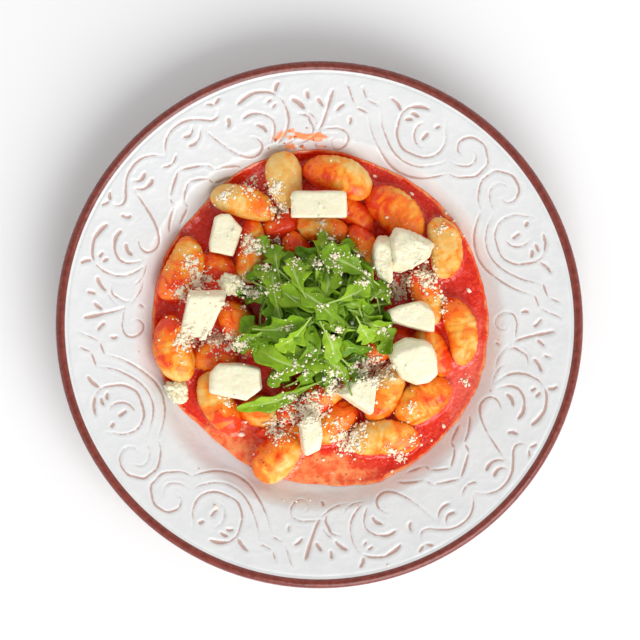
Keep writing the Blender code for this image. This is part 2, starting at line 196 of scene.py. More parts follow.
class Recipe:
    """A material under construction, around one Principled shader."""

    def __init__(self, name, **constants):
        self.material = bpy.data.materials.new(name)
        self.material.use_nodes = True
        self.tree = self.material.node_tree
        self.shader = self.tree.nodes["Principled BSDF"]
        for title, value in constants.items():
            self.shader.inputs[title.replace("_", " ")].default_value = value
        self.place = self.node("ShaderNodeTexCoord", output="Object")

    def node(self, kind, settings=None, values=None, output=0):
        """Any node: its settings first, then a value or a link for each named socket."""
        made = self.tree.nodes.new(kind)
        for title, value in (settings or {}).items():
            setattr(made, title, value)
        for title, value in (values or {}).items():
            self.feed(made.inputs[title], value)
        return Socket(self, made.outputs[output])

    def feed(self, entry, value):
        if isinstance(value, Socket):
            self.tree.links.new(value.output, entry)
        else:
            entry.default_value = value

    def layer(self, name):
        """One of the piece's own attributes."""
        return self.node("ShaderNodeAttribute", {"attribute_name": name}, output="Fac")

    def cloud(self, size, detail=3, roughness=0.5, distortion=0.0):
        """Noise whose blotches are about `size` millimetres wide."""
        values = {"Vector": self.place, "Scale": 1 / (size * MM), "Detail": detail}
        values |= {"Roughness": roughness, "Distortion": distortion}
        return self.node("ShaderNodeTexNoise", None, values)

    def cells(self, size):
        """Distance to the nearest of scattered middles about `size` millimetres apart."""
        values = {"Vector": self.place, "Scale": 1 / (size * MM)}
        return self.node("ShaderNodeTexVoronoi", None, values, "Distance")

    def mix(self, share, first, second):
        """The first colour where the share is 0 and the second where it is 1; each a triple or a socket."""
        first, second = (c if isinstance(c, Socket) else (*c, 1) for c in (first, second))
        return self.node("ShaderNodeMix", {"data_type": "RGBA"}, {0: share, 6: first, 7: second}, 2)

    def done(self, colour, roughness=None, bump=None, depth=0.0):
        """Feeds the shader. Depth is the height in millimetres that a bump of 1 stands for."""
        self.feed(self.shader.inputs["Base Color"], colour)
        if roughness is not None:
            self.feed(self.shader.inputs["Roughness"], roughness)
        if bump is not None:
            normal = self.node("ShaderNodeBump", None, {"Height": bump, "Distance": depth * MM}, "Normal")
            self.feed(self.shader.inputs["Normal"], normal)
        return self.material


GLAZE_WHITE = (0.76, 0.765, 0.765)
GLAZE_GREY = (0.68, 0.69, 0.70)
TERRACOTTA = (0.44, 0.22, 0.16)
BAND_BROWN = (0.150, 0.026, 0.018)
BAND_RED = (0.235, 0.046, 0.032)
OIL_ORANGE = (0.94, 0.27, 0.05)


def glazed_stoneware():
    """White glaze worn to terracotta in the scrolls, a brown band, a smear of sauce, and bare clay below."""
    recipe = Recipe("glazed_stoneware", Specular_IOR_Level=0.5)
    groove, band, stain, bare = (recipe.layer(name) for name in ("groove", "band", "stain", "bare"))
    mottle = recipe.cloud(9, 4).step(0.35, 0.7)
    broken = recipe.cloud(2.2, 3, 0.6)
    patchy = recipe.cloud(16, 2).step(0.35, 0.62)
    worn = (groove * (patchy * 0.35 + 0.75) + (broken - 0.5) * 0.9).step(0.48, 0.95)
    white = recipe.mix(mottle * 0.5, GLAZE_WHITE, GLAZE_GREY)
    worn_white = recipe.mix(worn * 0.75, white, TERRACOTTA)
    smeared = (stain + (broken - 0.5) * 0.8 * stain.least(0.6)).step(0.2, 0.5)
    stained = recipe.mix(smeared * 0.9, worn_white, OIL_ORANGE)
    brown = recipe.mix(recipe.cloud(3, 4, 0.6).step(0.3, 0.7), BAND_BROWN, BAND_RED)
    banded = recipe.mix(band, stained, brown)
    clay = recipe.mix(recipe.cloud(0.7, 3), (0.50, 0.27, 0.16), (0.42, 0.20, 0.11))
    colour = recipe.mix(bare, banded, clay)
    roughness = (mottle * 0.06 + worn * 0.25 + 0.17 + bare * 0.5).least(0.85)
    ripple = recipe.cloud(4, 2) + recipe.cloud(0.5, 2) * 0.06
    return recipe.done(colour, roughness, ripple, 0.25)


def tomato_sauce():
    """Wet red sauce with patches of orange oil, of pink that is a painted reflection of the window, and of deep
    red that is partly the sauce's own and partly painted shade; droplets of oil and clots of pulp.
    """
    recipe = Recipe("tomato_sauce", Specular_IOR_Level=0.38, Coat_Roughness=0.05, Coat_Weight=0.4)
    oil, pale, deep = (recipe.layer(name) for name in ("oil", "pale", "deep"))
    pulp = recipe.cloud(1.6, 4, 0.6)
    drift = recipe.cloud(6, 3)
    red = recipe.mix(pulp.step(0.35, 0.65), (0.66, 0.014, 0.005), (0.88, 0.050, 0.014))
    orange = recipe.mix(recipe.cloud(6, 4, 0.65).step(0.38, 0.62), (0.90, 0.12, 0.030), (0.96, 0.33, 0.12))
    # Pink stands for the window's sheen on the wet sauce: a painted reflection.
    pink = recipe.mix(pulp.step(0.35, 0.65), (0.78, 0.075, 0.045), (0.86, 0.155, 0.10))
    # Darker red where deep: partly the sauce's own deep red, partly painted shade between the dumplings and
    # under the heap.
    colour = recipe.mix((deep * 0.6).least(0.7), red, (0.50, 0.010, 0.004))
    # Painted reflection: pink where the pale patches lie.
    colour = recipe.mix((pale + (drift - 0.5) * 0.7).step(0.3, 0.8), colour, pink)
    colour = recipe.mix((oil + (drift - 0.5) * 0.7).step(0.3, 0.8), colour, orange)
    colour = recipe.mix((deep + (pulp - 0.5) * 1.2).step(0.75, 1.05) * 0.85, colour, (0.74, 0.035, 0.014))
    droplets = recipe.cells(2.2).step(0.30, 0.22) * recipe.cloud(5, 2).step(0.48, 0.6) * (oil + 0.2).least(1)
    colour = recipe.mix(droplets * 0.6, colour, (0.93, 0.36, 0.08))
    clots = recipe.cells(3.4).step(0.30, 0.12) * recipe.cloud(7, 2).step(0.50, 0.62)
    colour = recipe.mix(clots * 0.55, colour, (0.62, 0.022, 0.008))
    roughness = pulp * 0.12 + 0.06
    bump = pulp * (0.8 - oil.least(0.7)) + clots * 0.7 + droplets * 0.25 + drift * 0.8
    return recipe.done(colour, roughness, bump, 0.5)


def dumpling_dough():
    """Dough that turns from bare through golden and orange to red as its coat of sauce thickens."""
    recipe = Recipe("dumpling_dough", Specular_IOR_Level=0.4, Subsurface_Weight=0.15, Subsurface_Scale=0.003)
    coat = recipe.layer("coat")
    blotch = recipe.cloud(7, 2, 0.45, 0.8)
    pulp = recipe.cloud(1.4, 3, 0.6)
    amount = coat + (blotch - 0.5) * 1.5 + (pulp - 0.5) * 0.28
    dough = recipe.mix(recipe.cloud(4, 2).step(0.35, 0.65), (0.88, 0.585, 0.20), (0.86, 0.46, 0.105))
    golden = recipe.mix(amount.step(0.10, 0.36), dough, (0.97, 0.38, 0.035))
    orange = recipe.mix(amount.step(0.33, 0.58), golden, (1.0, 0.20, 0.010))
    red = recipe.mix(amount.step(0.62, 0.92), orange, (0.84, 0.050, 0.008))
    clots = recipe.cells(3.0).step(0.24, 0.10) * recipe.cloud(5, 2).step(0.52, 0.6) * coat.step(0.2, 0.6)
    colour = recipe.mix(clots * 0.7, red, (0.70, 0.030, 0.006))
    roughness = 0.30 - amount.step(0.2, 0.9) * 0.15 + pulp * 0.06
    bump = pulp * 0.5 + recipe.cloud(0.5, 2) * 0.1 + clots * 0.6 + blotch * 0.5
    bump = bump + amount.step(0.33, 0.6) * 0.25
    return recipe.done(colour, roughness, bump, 0.5)


def fresh_cheese():
    """Ivory curd, creamier where it is torn, and stained by sauce at its foot."""
    recipe = Recipe("mozzarella", Subsurface_Weight=0.3, Subsurface_Scale=0.004, Specular_IOR_Level=0.45)
    torn, soak = recipe.layer("torn"), recipe.layer("soak")
    curd = recipe.cloud(2.4, 4, 0.6)
    ivory = recipe.mix(curd.step(0.3, 0.7), (0.86, 0.80, 0.56), (0.90, 0.86, 0.65))
    creamy = recipe.mix(torn * 0.4, ivory, (0.86, 0.80, 0.55))
    wet = (soak + (recipe.cloud(1.6, 3) - 0.5) * 0.9).step(0.45, 0.9)
    colour = recipe.mix(wet * 0.8, creamy, (0.88, 0.42, 0.14))
    roughness = curd * 0.2 + 0.26
    bump = curd + recipe.cloud(0.6, 3) * (torn + 0.35) * 0.5
    return recipe.done(colour, roughness, bump, 0.4)


def rocket_leaf():
    """Green, dark to bright by the leaf's tint, which holds the leaf's own tone and, for leaves deep in the
    heap, painted shade; with a pale midrib and side veins that slant forward.
    """
    recipe = Recipe("rocket_leaf", Specular_IOR_Level=0.22)
    along, across, rib, tint = (recipe.layer(name) for name in ("along", "across", "rib", "tint"))
    green = recipe.mix(recipe.cloud(3, 3).step(0.3, 0.7), (0.085, 0.205, 0.007), (0.150, 0.310, 0.010))
    bright = recipe.mix(recipe.cloud(4, 3).step(0.3, 0.7), (0.23, 0.41, 0.010), (0.35, 0.53, 0.022))
    blade = recipe.mix(tint, green, bright)
    side = across.math("ABSOLUTE")
    slant = along * 40 - side * 10
    wave = slant.math("SINE")
    vein = wave.step(0.88, 1.0) * side.step(0.9, 0.6)
    veined = recipe.mix(vein * 0.3, blade, (0.30, 0.46, 0.07))
    colour = recipe.mix(rib.step(0.3, 0.9) * 0.85, veined, (0.46, 0.60, 0.20))
    bump = wave * -0.2 + recipe.cloud(1.0, 2) * 0.5 - rib * 0.4
    return recipe.done(colour, recipe.cloud(2, 2) * 0.15 + 0.28, bump, 0.35)


def shaded_leaf():
    """Painted shade: the dark green inside the heap."""
    recipe = Recipe("shaded_rocket", Specular_IOR_Level=0.2, Roughness=0.6)
    # Painted shade: near-black greens that stand for the shade deep inside the heap.
    colour = recipe.mix(recipe.cloud(4, 3).step(0.35, 0.65), (0.012, 0.05, 0.004), (0.045, 0.13, 0.01))
    return recipe.done(colour, bump=recipe.cloud(2.5, 3), depth=1.2)


def grated_cheese():
    """Pale yellow hard cheese, each crumb with a tint of its own."""
    recipe = Recipe("grated_cheese", Specular_IOR_Level=0.3)
    tint = recipe.layer("tint")
    colour = recipe.mix(tint, (0.98, 0.84, 0.62), (0.99, 0.94, 0.79))
    colour = recipe.mix(recipe.cloud(0.7, 2).step(0.45, 0.8) * 0.3, colour, (0.97, 0.72, 0.46))
    return recipe.done(colour, recipe.cloud(0.5, 2) * 0.2 + 0.42, recipe.cloud(0.3, 2), 0.1)


def droplets_of_sauce():
    """Thin spattered sauce."""
    recipe = Recipe("sauce_droplets", Specular_IOR_Level=0.6)
    colour = recipe.mix(recipe.cloud(1.0, 3).step(0.4, 0.6), (0.70, 0.10, 0.015), (0.82, 0.24, 0.04))
    return recipe.done(colour, recipe.cloud(0.8, 2) * 0.1 + 0.14, recipe.cloud(0.5, 2), 0.08)


def dark_specks():
    """Ground pepper and dried herbs."""
    recipe = Recipe("herb_specks")
    colour = recipe.mix(recipe.cloud(0.4, 2).step(0.4, 0.6), (0.03, 0.015, 0.008), (0.09, 0.045, 0.02))
    return recipe.done(colour, recipe.cloud(0.4, 2) * 0.2 + 0.5)


def pale_floor():
    """The table top that catches the shadow."""
    recipe = Recipe("pale_floor", Roughness=0.9, Specular_IOR_Level=0.1)
    return recipe.done(recipe.mix(recipe.cloud(60, 2), (0.93, 0.93, 0.93), (0.95, 0.95, 0.95)))


# ---------------------------------------------------------------- the plate

# Where the parts of the eating side end: the distance from the middle, and the height.
WELL_FLOOR = (60.0, 7.0)
WELL_WALL = (85.0, 12.6)
SHOULDER = (96.0, 21.4)
RIM_SLOPE = 0.24
RIM_LINE = 129.0
INNER_RADII = (12, 30, 50, 60, 68, 76, 81, 84.5, 86.4)
RELIEF_FROM = 87.5
RELIEF_TO = 128.0
RELIEF_RINGS = 64
OUTER_RADII = (128.5, 129.0, 129.5, 130.1, 130.4)
EDGE_MIDDLE = (132.5, 28.2)
EDGE_ROUND = 2.5
EDGE_STOPS = (128, 100, 75, 50, 25, 0, -30, -60, -88)
UNDERSIDE = ((129, 24.6), (104, 18.0), (94, 13.6), (88, 8.4), (83, 6.4), (77.2, 4.6), (75.4, 2.2),
             (74.9, 0.6), (74.2, 0.0), (70.4, 0.0), (69.6, 0.6), (69.0, 2.0), (66, 2.4), (30, 2.2))
PLATE_COLUMNS = 960
LEAF_AXIS = 42.5
SECTOR = 90.0

# Scroll work cut into the rim, for a quarter of the way round; the rest mirrors it. Each stroke is its
# thickness and its points: degrees from the axis between two scrolls, and the distance from the middle.
SCROLLS = (
    (1.0, (7, 113.5), (9, 114), (10, 117.5), (9.5, 121), (8, 124), (5, 124.8), (3, 122.5), (1.3, 119.5),
     (1, 116), (1, 111), (2.5, 107), (4.5, 103.5), (7, 102)),
    (1.0, (7.4, 101.5), (9, 97.5), (12, 92.5), (16, 89.5), (20, 88.8), (24, 90.3), (28, 94.5), (31, 99.5),
     (33, 104.5), (34.7, 111.3)),
    (0.9, (34.7, 111.3), (36, 112), (38, 113)),
    (0.9, (38, 113), (39.3, 117), (40.3, 121.5), (41.3, 125)),
    (0.8, (6.2, 119.5), (4.7, 118), (3.9, 115.5), (4.2, 112), (5.5, 109.5), (7.2, 107.8), (9.5, 107.5)),
    (0.9, (9.8, 106.5), (11, 102.7), (13.5, 98), (16.5, 95.2), (20, 94.6), (23, 95.7), (26, 98.8),
     (28.3, 103), (30, 107), (31, 111), (32, 116.5)),
    (0.9, (32, 116.5), (33.7, 117), (35.7, 118)),
    (0.9, (35.7, 118), (36.5, 121), (37.4, 124.5)),
    (1.0, (16, 124), (14.8, 119.5), (13.3, 115.5), (12.6, 110), (13, 106), (14.3, 102.8), (16, 100.8),
     (19, 99.8), (22, 100), (24, 102.3), (25.5, 106), (26, 110), (26.2, 115), (25.5, 119), (23.8, 122),
     (20.3, 123.8)),
    (1.5, (24.6, 121), (22.6, 123), (20.3, 123.8)),
    (0.9, (20, 117.5), (21.2, 113.5), (21, 109), (19.6, 105.8), (17.2, 104.6)),
    (1.4, (18, 113), (18.2, 111), (18.5, 108.5)),
    (1.4, (16.3, 119), (16.6, 118), (16.9, 117)),
    (1.4, (22, 118), (23, 118.4), (24, 118.2)),
    (1.4, (23.1, 115.4), (24, 115), (24.7, 114)),
    (1.5, (26.7, 117.5), (28, 119.8), (30, 121.8)),
    (1.1, (44.2, 120.5), (45.2, 112), (46.5, 104), (47.7, 100)),
    (1.5, (44.1, 121), (44.7, 116), (45.3, 111)),
    (1.5, (48, 116), (47.2, 114), (46.6, 112)),
    (1.4, (41, 114), (42.2, 112), (43, 110)),
    (1.4, (50.5, 120), (50.5, 118), (50.3, 116)),
    (1.8, (51.5, 111), (52.8, 114.2), (54.5, 116.5)),
    (0.8, (51.5, 111), (49.4, 107.5), (48.2, 104)),
    (1.0, (53.5, 109), (51, 107.5), (50, 104), (49.3, 101), (49.8, 98)),
    (0.8, (48, 99), (50.2, 96), (53, 93.8), (57, 93.3)),
    (0.8, (54.5, 98), (56, 95.3), (59, 93.8), (62, 94.3)),
    (0.9, (48.5, 100.2), (45, 101), (41.8, 101.3), (39.4, 99.5), (38.7, 96), (39.6, 92.5), (41.8, 90.6),
     (43.6, 92.2), (44, 94.8), (42.9, 96.6)),
    (1.3, (39, 107.5), (38.8, 105.8), (39, 104)),
    (1.2, (48.8, 93.3), (48.6, 92.2), (48.2, 91)),
    (1.0, (58, 119.5), (56.8, 116), (56.1, 111), (56.1, 106), (57, 101.5), (58.7, 97.8), (61, 95)),
    (1.1, (58, 119.5), (60, 122), (63.5, 123.4), (66, 122), (67.8, 120.3)),
    (1.6, (63.5, 123.4), (66, 122), (67.8, 120.3)),
    (1.4, (57, 126), (57.8, 124), (58.2, 121.5)),
    (1.3, (59.6, 118), (60.2, 117.7), (60.9, 116.9)),
    (1.3, (58.8, 115.4), (59.3, 114.7), (59.7, 113.6)),
    (1.0, (68, 112.6), (65.8, 113.6), (62.8, 112), (60.7, 108.5), (60.2, 104.5), (60.9, 100.5), (62.5, 96.5)),
    (1.5, (68, 112.6), (65.8, 113.6), (63.8, 112.8)),
    (1.5, (65.2, 107.8), (63.5, 105.5), (62.8, 102.5)),
    (1.0, (67.6, 103), (66, 100.6), (65.2, 97.5), (65.9, 94.3), (68.2, 92.6), (70.7, 93.6), (73.2, 97.3),
     (75.2, 102.5), (76.6, 108), (77.8, 114), (78.4, 118.5)),
    (1.5, (71.4, 116), (71.6, 113.3), (72.4, 111.5)),
    (1.0, (73, 123), (72.9, 120.5), (74, 118.3), (75.6, 118.6), (77.6, 121.3), (80, 124.2), (82.8, 125.4),
     (85.6, 124.6), (88, 121.5), (90, 116.5)),
    (1.3, (71.3, 127), (72, 126), (72.8, 124.8)),
    (1.3, (74.8, 127), (74, 126), (73.4, 124.8)),
    (1.0, (80, 121.5), (80.8, 118.6), (82, 117.6), (83.4, 118.6)),
    (1.5, (81.4, 117.8), (82.4, 117.8), (83.4, 118.6)),
    (1.0, (78.8, 118), (79.8, 114.6), (81.6, 112.9), (83.6, 113.6)),
    (1.5, (81.2, 113.1), (82.4, 112.9), (83.6, 113.6)),
    (0.9, (87.4, 114.3), (88.6, 112.6), (90, 111.8)),
    (1.0, (90, 107.3), (86.5, 104), (83, 100.8)),
    (0.9, (83, 100.8), (82.3, 99), (81.8, 96.3)),
    (1.0, (81.8, 96.3), (79, 94.8), (75.8, 92.6), (73.6, 90.4)),
    (1.0, (90, 99.8), (87, 96.8), (84.8, 94)),
    (0.9, (84.8, 94), (84.6, 92.4), (84.2, 90.9)),
    (1.0, (84.2, 90.9), (81, 89.6), (77.6, 88.6)),
)
STROKE_STEPS = 5
STROKE_MARGIN = 8.0
SECTOR_MARGIN = 4.0
GROOVE_DEPTH = 0.55
GROOVE_WIDTH = 0.72
RIDGE_HEIGHT = 0.12
RIDGE_AWAY = 2.1
WEAR = 1.4


def eating_side(radius):
    """Height of the plate's upper side: a flat floor, a parabola up to the wall, an S up to the shoulder,
    and a straight slope."""
    wall = WELL_FLOOR[1] + (WELL_WALL[1] - WELL_FLOOR[1]) * (
        np.clip((radius - WELL_FLOOR[0]) / (WELL_WALL[0] - WELL_FLOOR[0]), 0, 1) ** 2
    )
    share = np.clip((radius - WELL_WALL[0]) / (SHOULDER[0] - WELL_WALL[0]), 0, 1)
    shoulder = (SHOULDER[1] - WELL_WALL[1]) * (0.55 * share + 0.45 * share * share * (3 - 2 * share))
    return wall + shoulder + RIM_SLOPE * np.maximum(radius - SHOULDER[0], 0)


def scroll_relief(angle, radius):
    """Depth and darkness of the cut scrolls at polar places in millimetres.

    Each stroke is a groove whose section is a bell curve of the distance to its line, between two low
    shoulders of the same kind, narrower towards its ends. The deepest stroke wins at every place. Strokes
    near the sector's two sides count there once more, mirrored.
    """
    place = np.stack([radius * np.cos(angle), radius * np.sin(angle)], -1)
    cut = np.zeros(angle.shape)
    ridge = np.zeros(angle.shape)
    dark = np.zeros(angle.shape)
    for thickness, *points in SCROLLS:
        turns, reach = np.array(points, float).T
        for turn in (turns, -turns, 2 * SECTOR - turns):
            if turn.max() < -SECTOR_MARGIN or turn.min() > SECTOR + SECTOR_MARGIN:
                continue
            around = np.radians(turn)
            line = spline(np.stack([reach * np.cos(around), reach * np.sin(around)], 1), STROKE_STEPS)
            start, stretch = line[:-1], np.diff(line, axis=0)
            ease = np.sin(np.linspace(0, math.pi, len(start))) ** 0.4
            weight = thickness * (0.45 + 0.55 * ease)
            near = np.abs(place - start.mean(0)).max(-1) < np.ptp(line, axis=0).max() + STROKE_MARGIN
            spot = place[near][:, None]
            share = ((spot - start) * stretch).sum(-1) / np.maximum((stretch**2).sum(-1), 1e-9)
            away = np.linalg.norm(spot - start - stretch * np.clip(share, 0, 1)[..., None], axis=-1)
            scaled = away / (GROOVE_WIDTH * weight)
            bell = np.exp(-(scaled**2))
            cut[near] = np.maximum(cut[near], (weight * bell).max(1))
            ridge[near] = np.maximum(ridge[near], np.exp(-((scaled - RIDGE_AWAY) ** 2) * 0.9).max(1))
            dark[near] = np.maximum(dark[near], (WEAR * np.minimum(weight, 1) * bell).max(1))
    return RIDGE_HEIGHT * ridge * (1 - np.minimum(cut, 1)) - GROOVE_DEPTH * cut, dark


def plate_section():
    """Distance from the middle and height along the profile: the eating side with one fine turned line, the
    round edge, and the underside with its foot ring."""
    radii = np.concatenate([INNER_RADII, np.linspace(RELIEF_FROM, RELIEF_TO, RELIEF_RINGS), OUTER_RADII])
    heights = eating_side(radii) - 0.35 * np.exp(-(((radii - RIM_LINE) / 0.45) ** 2))
    bulge = np.radians(EDGE_STOPS)
    edge = EDGE_MIDDLE + EDGE_ROUND * np.stack([np.cos(bulge), np.sin(bulge)], 1)
    return np.vstack([np.stack([radii, heights], 1), edge, UNDERSIDE])


def add_plate():
    """The plate: its section carried round +Z and closed by a pole on each side.

    The scroll relief is worked out over one sector and read off all round the rim, forwards and mirrored
    in turn. The band covers the round edge and a row on each side of it, the smear is a bell curve over an
    ellipse broken up by noise, and the bare clay is what stands on the table.
    """
    columns = np.arange(PLATE_COLUMNS) * (WHOLE_TURN / PLATE_COLUMNS)
    section = plate_section()
    radius, height = (np.repeat(section[:, [axis]], PLATE_COLUMNS, 1) for axis in (0, 1))
    relief_start = len(INNER_RADII)
    relief_end = relief_start + RELIEF_RINGS
    upper_rows = relief_end + len(OUTER_RADII)
    row = np.arange(len(section))[:, None]

    turned = (np.degrees(columns) - LEAF_AXIS) % (2 * SECTOR)
    folded = np.minimum(turned, 2 * SECTOR - turned)
    quarter = np.linspace(0, SECTOR, PLATE_COLUMNS // 4 + 1)
    angle, reach = np.meshgrid(np.radians(quarter), section[relief_start:relief_end, 0])
    relief, dark = scroll_relief(angle, reach)
    groove = np.zeros_like(height)
    for ring, (cut, line) in enumerate(zip(relief, dark), relief_start):
        height[ring] += np.interp(folded, quarter, cut)
        groove[ring] = np.interp(folded, quarter, line)

    x, y = radius * np.cos(columns), radius * np.sin(columns)
    spots = np.stack([x, y, height], -1)
    rim = np.s_[relief_start:relief_end]
    height[rim] += noise(spots[rim], 14, 5, 2) * 0.12 * smoothstep(88, 94, radius[rim])
    drift = noise(spots * (0.6, 1.3, 1), 4.5, 17)
    smear = np.exp(-(((x + 8) / 15) ** 2) - ((y - 95.5) / 5.5) ** 2) * smoothstep(-0.25, 0.3, drift)
    layers = {
        "groove": groove,
        "band": (row >= upper_rows - 1) & (row <= upper_rows + len(EDGE_STOPS)),
        "stain": smear * (row < upper_rows),
        "bare": (height < 0.3) & (row >= upper_rows),
    }
    layers = {name: np.pad((values + np.zeros_like(height)).ravel(), 1) for name, values in layers.items()}
    body = np.stack([x, y, height], -1).reshape(-1, 3)
    points = np.vstack([[0, 0, WELL_FLOOR[1]], body, [0, 0, UNDERSIDE[-1][1]]])
    faces = skin(len(section), PLATE_COLUMNS)
    add_piece("glazed_plate", points, faces, glazed_stoneware(), "stoneware", ["plate"], **layers)


# ---------------------------------------------------------------- height of what lies below

CELL = 0.8
REACH = 140.0
CELLS = int(2 * REACH / CELL)
SLOPE_STEP = 1.2
STEEPEST = 1.2
# Where on a triangle it is sampled: its corners, its middle and the middles of two sides.
SAMPLES = np.array([(1, 0, 0), (0, 1, 0), (0, 0, 1), (0.34, 0.33, 0.33), (0.5, 0.5, 0), (0, 0.5, 0.5)])


class Ground:
    """The height of the topmost surface over each cell of a square grid."""

    def __init__(self):
        at = (np.arange(CELLS) + 0.5) * CELL - REACH
        x, y = np.meshgrid(at, at, indexing="ij")
        self.height = eating_side(np.hypot(x, y))

    def index(self, places):
        """The grid's cell, along both axes, that each place is in."""
        cell = ((places[..., :2] + REACH) / CELL).astype(int).clip(0, CELLS - 1)
        return cell[..., 0], cell[..., 1]

    def lay(self, points, faces):
        """Raises the grid to a piece's surface, sampled over each of its faces."""
        corners = points[as_triangles(faces)]
        for weights in SAMPLES:
            spots = np.tensordot(corners, weights, ((1,), (0,)))
            np.maximum.at(self.height, self.index(spots), spots[:, 2])

    def at(self, places):
        """The height at each place."""
        return self.height[self.index(places)]

    def slope(self, places):
        """Unit normal of the grid at these places, from the heights on both sides, kept from the steepest."""
        steps = np.eye(2) * SLOPE_STEP
        rise = [(self.at(places + step) - self.at(places - step)) / (2 * SLOPE_STEP) for step in steps]
        normal = np.stack([*-np.clip(rise, -STEEPEST, STEEPEST), np.ones(len(places))], 1)
        return normal / np.linalg.norm(normal, axis=1)[:, None]


ground = Ground()


# ---------------------------------------------------------------- dumplings and cheese


def facings(rows, columns, pole):
    """Unit vectors in rows from one end of the pole to the other, evenly spaced in angle, ends included."""
    pole = pole / np.linalg.norm(pole)
    aside = np.cross(pole, [0, 0, 1]) if abs(pole[2]) < 0.9 else np.array([1.0, 0, 0])
    aside = aside / np.linalg.norm(aside)
    third = np.cross(pole, aside)
    polar = (np.arange(rows) + 1) / (rows + 1) * math.pi
    around = np.arange(columns) * (WHOLE_TURN / columns)
    ring = np.cos(around)[:, None] * aside + np.sin(around)[:, None] * third
    body = np.cos(polar)[:, None, None] * pole + np.sin(polar)[:, None, None] * ring
    return np.vstack([pole, body.reshape(-1, 3), -pole])


def reach_of(shell, middle, ways):
    """Distance from the middle to the shell along each way: where the ray crosses each triangle's plane
    inside the triangle, by the two shares of its sides (Cramer's rule), and the farthest of those."""
    start = shell[:, 0] - middle
    side, other = shell[:, 1] - shell[:, 0], shell[:, 2] - shell[:, 0]
    normal = np.cross(side, other)
    facing = -(ways @ normal.T)
    facing = np.where(np.abs(facing) < 1e-9, 1e-9, facing)
    across = np.cross(start[None], ways[:, None])
    first = -(across * other).sum(-1) / facing
    second = (across * side).sum(-1) / facing
    distance = -(start * normal).sum(-1) / facing
    slack = 1e-6
    inside = (first >= -slack) & (second >= -slack) & (first + second <= 1 + slack) & (distance > 0)
    return np.where(inside, distance, 0).max(1)


def blended(values, rows, columns, passes):
    """Values on the rows of facings, each averaged with its neighbours along and between the rows."""
    body = values[1:-1].reshape(rows, columns)
    for _ in range(passes):
        body = (np.roll(body, 1, 1) + 2 * body + np.roll(body, -1, 1)) / 4
        padded = np.vstack([np.full(columns, body[0].mean()), body, np.full(columns, body[-1].mean())])
        body = (padded[:-2] + 2 * body + padded[2:]) / 4
    return np.concatenate([[body[0].mean()], body.ravel(), [body[-1].mean()]])


DUMPLING_ROWS = 44
DUMPLING_COLUMNS = 68
DUMPLING_PASSES = 6
DUMPLING_SWELL = 1.045
WRINKLE_PITCH = 3.4
RIDGE_PITCH = 4.1
SAUCE_LEVEL = 13.0

# How much sauce each dumpling wears, from 0, bare dough, to 1, deep red; how much more it wears on one
# side; and the heading of that side in degrees from +X.
COATS = (
    (0.04, 0.16, 40), (0.52, 0.36, 215), (0.28, 0.20, -20), (0.70, 0.34, 215), (0.20, 0.36, 0),
    (0.48, 0.26, 150), (0.50, 0.10, 0), (0.34, 0.22, 315), (0.52, 0.36, 140), (0.46, 0.42, 290),
    (0.58, 0.20, 110), (0.56, 0.22, 240), (0.48, 0.50, 150), (0.56, 0.28, 200), (0.84, 0.15, 0),
    (0.46, 0.20, 180), (0.82, 0.15, 180), (0.72, 0.20, 180), (0.56, 0.20, 0), (0.42, 0.22, 250),
    (0.55, 0.26, 130), (0.58, 0.15, 0), (0.68, 0.20, 0), (0.52, 0.42, 90), (0.38, 0.20, 270),
    (0.92, 0.10, 0), (0.90, 0.10, 0), (0.90, 0.10, 0), (0.84, 0.20, 270), (0.68, 0.25, 180),
)
# The dumplings that still show the grooves of the board they were rolled on.
RIDGED = (7,)


def add_dumpling(number, finish):
    """A dumpling: the CAD body's reach along every way from its middle, evened out, with dents and creases.

    Noise of two sizes dents it. A sine along it, bent by a slow noise, wrinkles it where that noise is high,
    and it is pinched in a bell curve round the line where another noise is zero. Its coat of sauce grows
    evenly towards one side, wavers with noise, and thickens where it sinks into the sauce.
    """
    shell = shell_of(f"gnocchi_{number:02d}")
    corners = shell.reshape(-1, 3)
    middle = (corners.min(0) + corners.max(0)) / 2
    spread = np.linalg.svd(corners - corners.mean(0), full_matrices=False)[2][0]
    pole = spread * np.sign(spread[0] + 1e-6)
    ways = facings(DUMPLING_ROWS, DUMPLING_COLUMNS, pole)
    reach = reach_of(shell, middle, ways)
    reach = blended(reach, DUMPLING_ROWS, DUMPLING_COLUMNS, DUMPLING_PASSES) * DUMPLING_SWELL
    spots = middle + ways * reach[:, None]
    along = (spots - middle) @ pole
    wrinkled = noise(spots, 11, 190 + number, 2)
    dents = noise(spots, 7, number, 2) * 0.5 + noise(spots, 2.2, 40 + number, 2) * 0.12
    wrinkles = np.sin(along * (WHOLE_TURN / WRINKLE_PITCH) + 2.5 * wrinkled)
    dents += 0.2 * wrinkles * smoothstep(-0.2, 0.4, wrinkled)
    crease = np.abs(noise(spots * (1, 1, 0.6), 9, 80 + number, 1))
    pinched = smoothstep(0.2, 0.5, noise(spots, 16, 120 + number, 1) + 0.2)
    dents -= 0.3 * np.exp(-((crease / 0.07) ** 2)) * pinched
    if number in RIDGED:
        dents += 0.5 * np.cos(along * (WHOLE_TURN / RIDGE_PITCH)) * smoothstep(0.1, 0.6, ways[:, 2])
    points = middle + ways * (reach + dents)[:, None]
    base, extra, heading = COATS[number - 1]
    toward = np.array([math.cos(math.radians(heading)), math.sin(math.radians(heading)), 0])
    place = (points - middle) @ toward / reach.max()
    sunk = smoothstep(SAUCE_LEVEL + 3.5, SAUCE_LEVEL, points[:, 2])
    coat = base + extra * place * 1.4 + 0.22 * noise(spots, 10, 160 + number, 2) + 0.35 * sunk
    faces = skin(DUMPLING_ROWS, DUMPLING_COLUMNS)
    ground.lay(points, faces)
    stands_for = [f"gnocchi_{number:02d}"]
    add_piece(f"dumpling_{number:02d}", points, faces, finish, "dumpling_dough", stands_for, coat=coat)


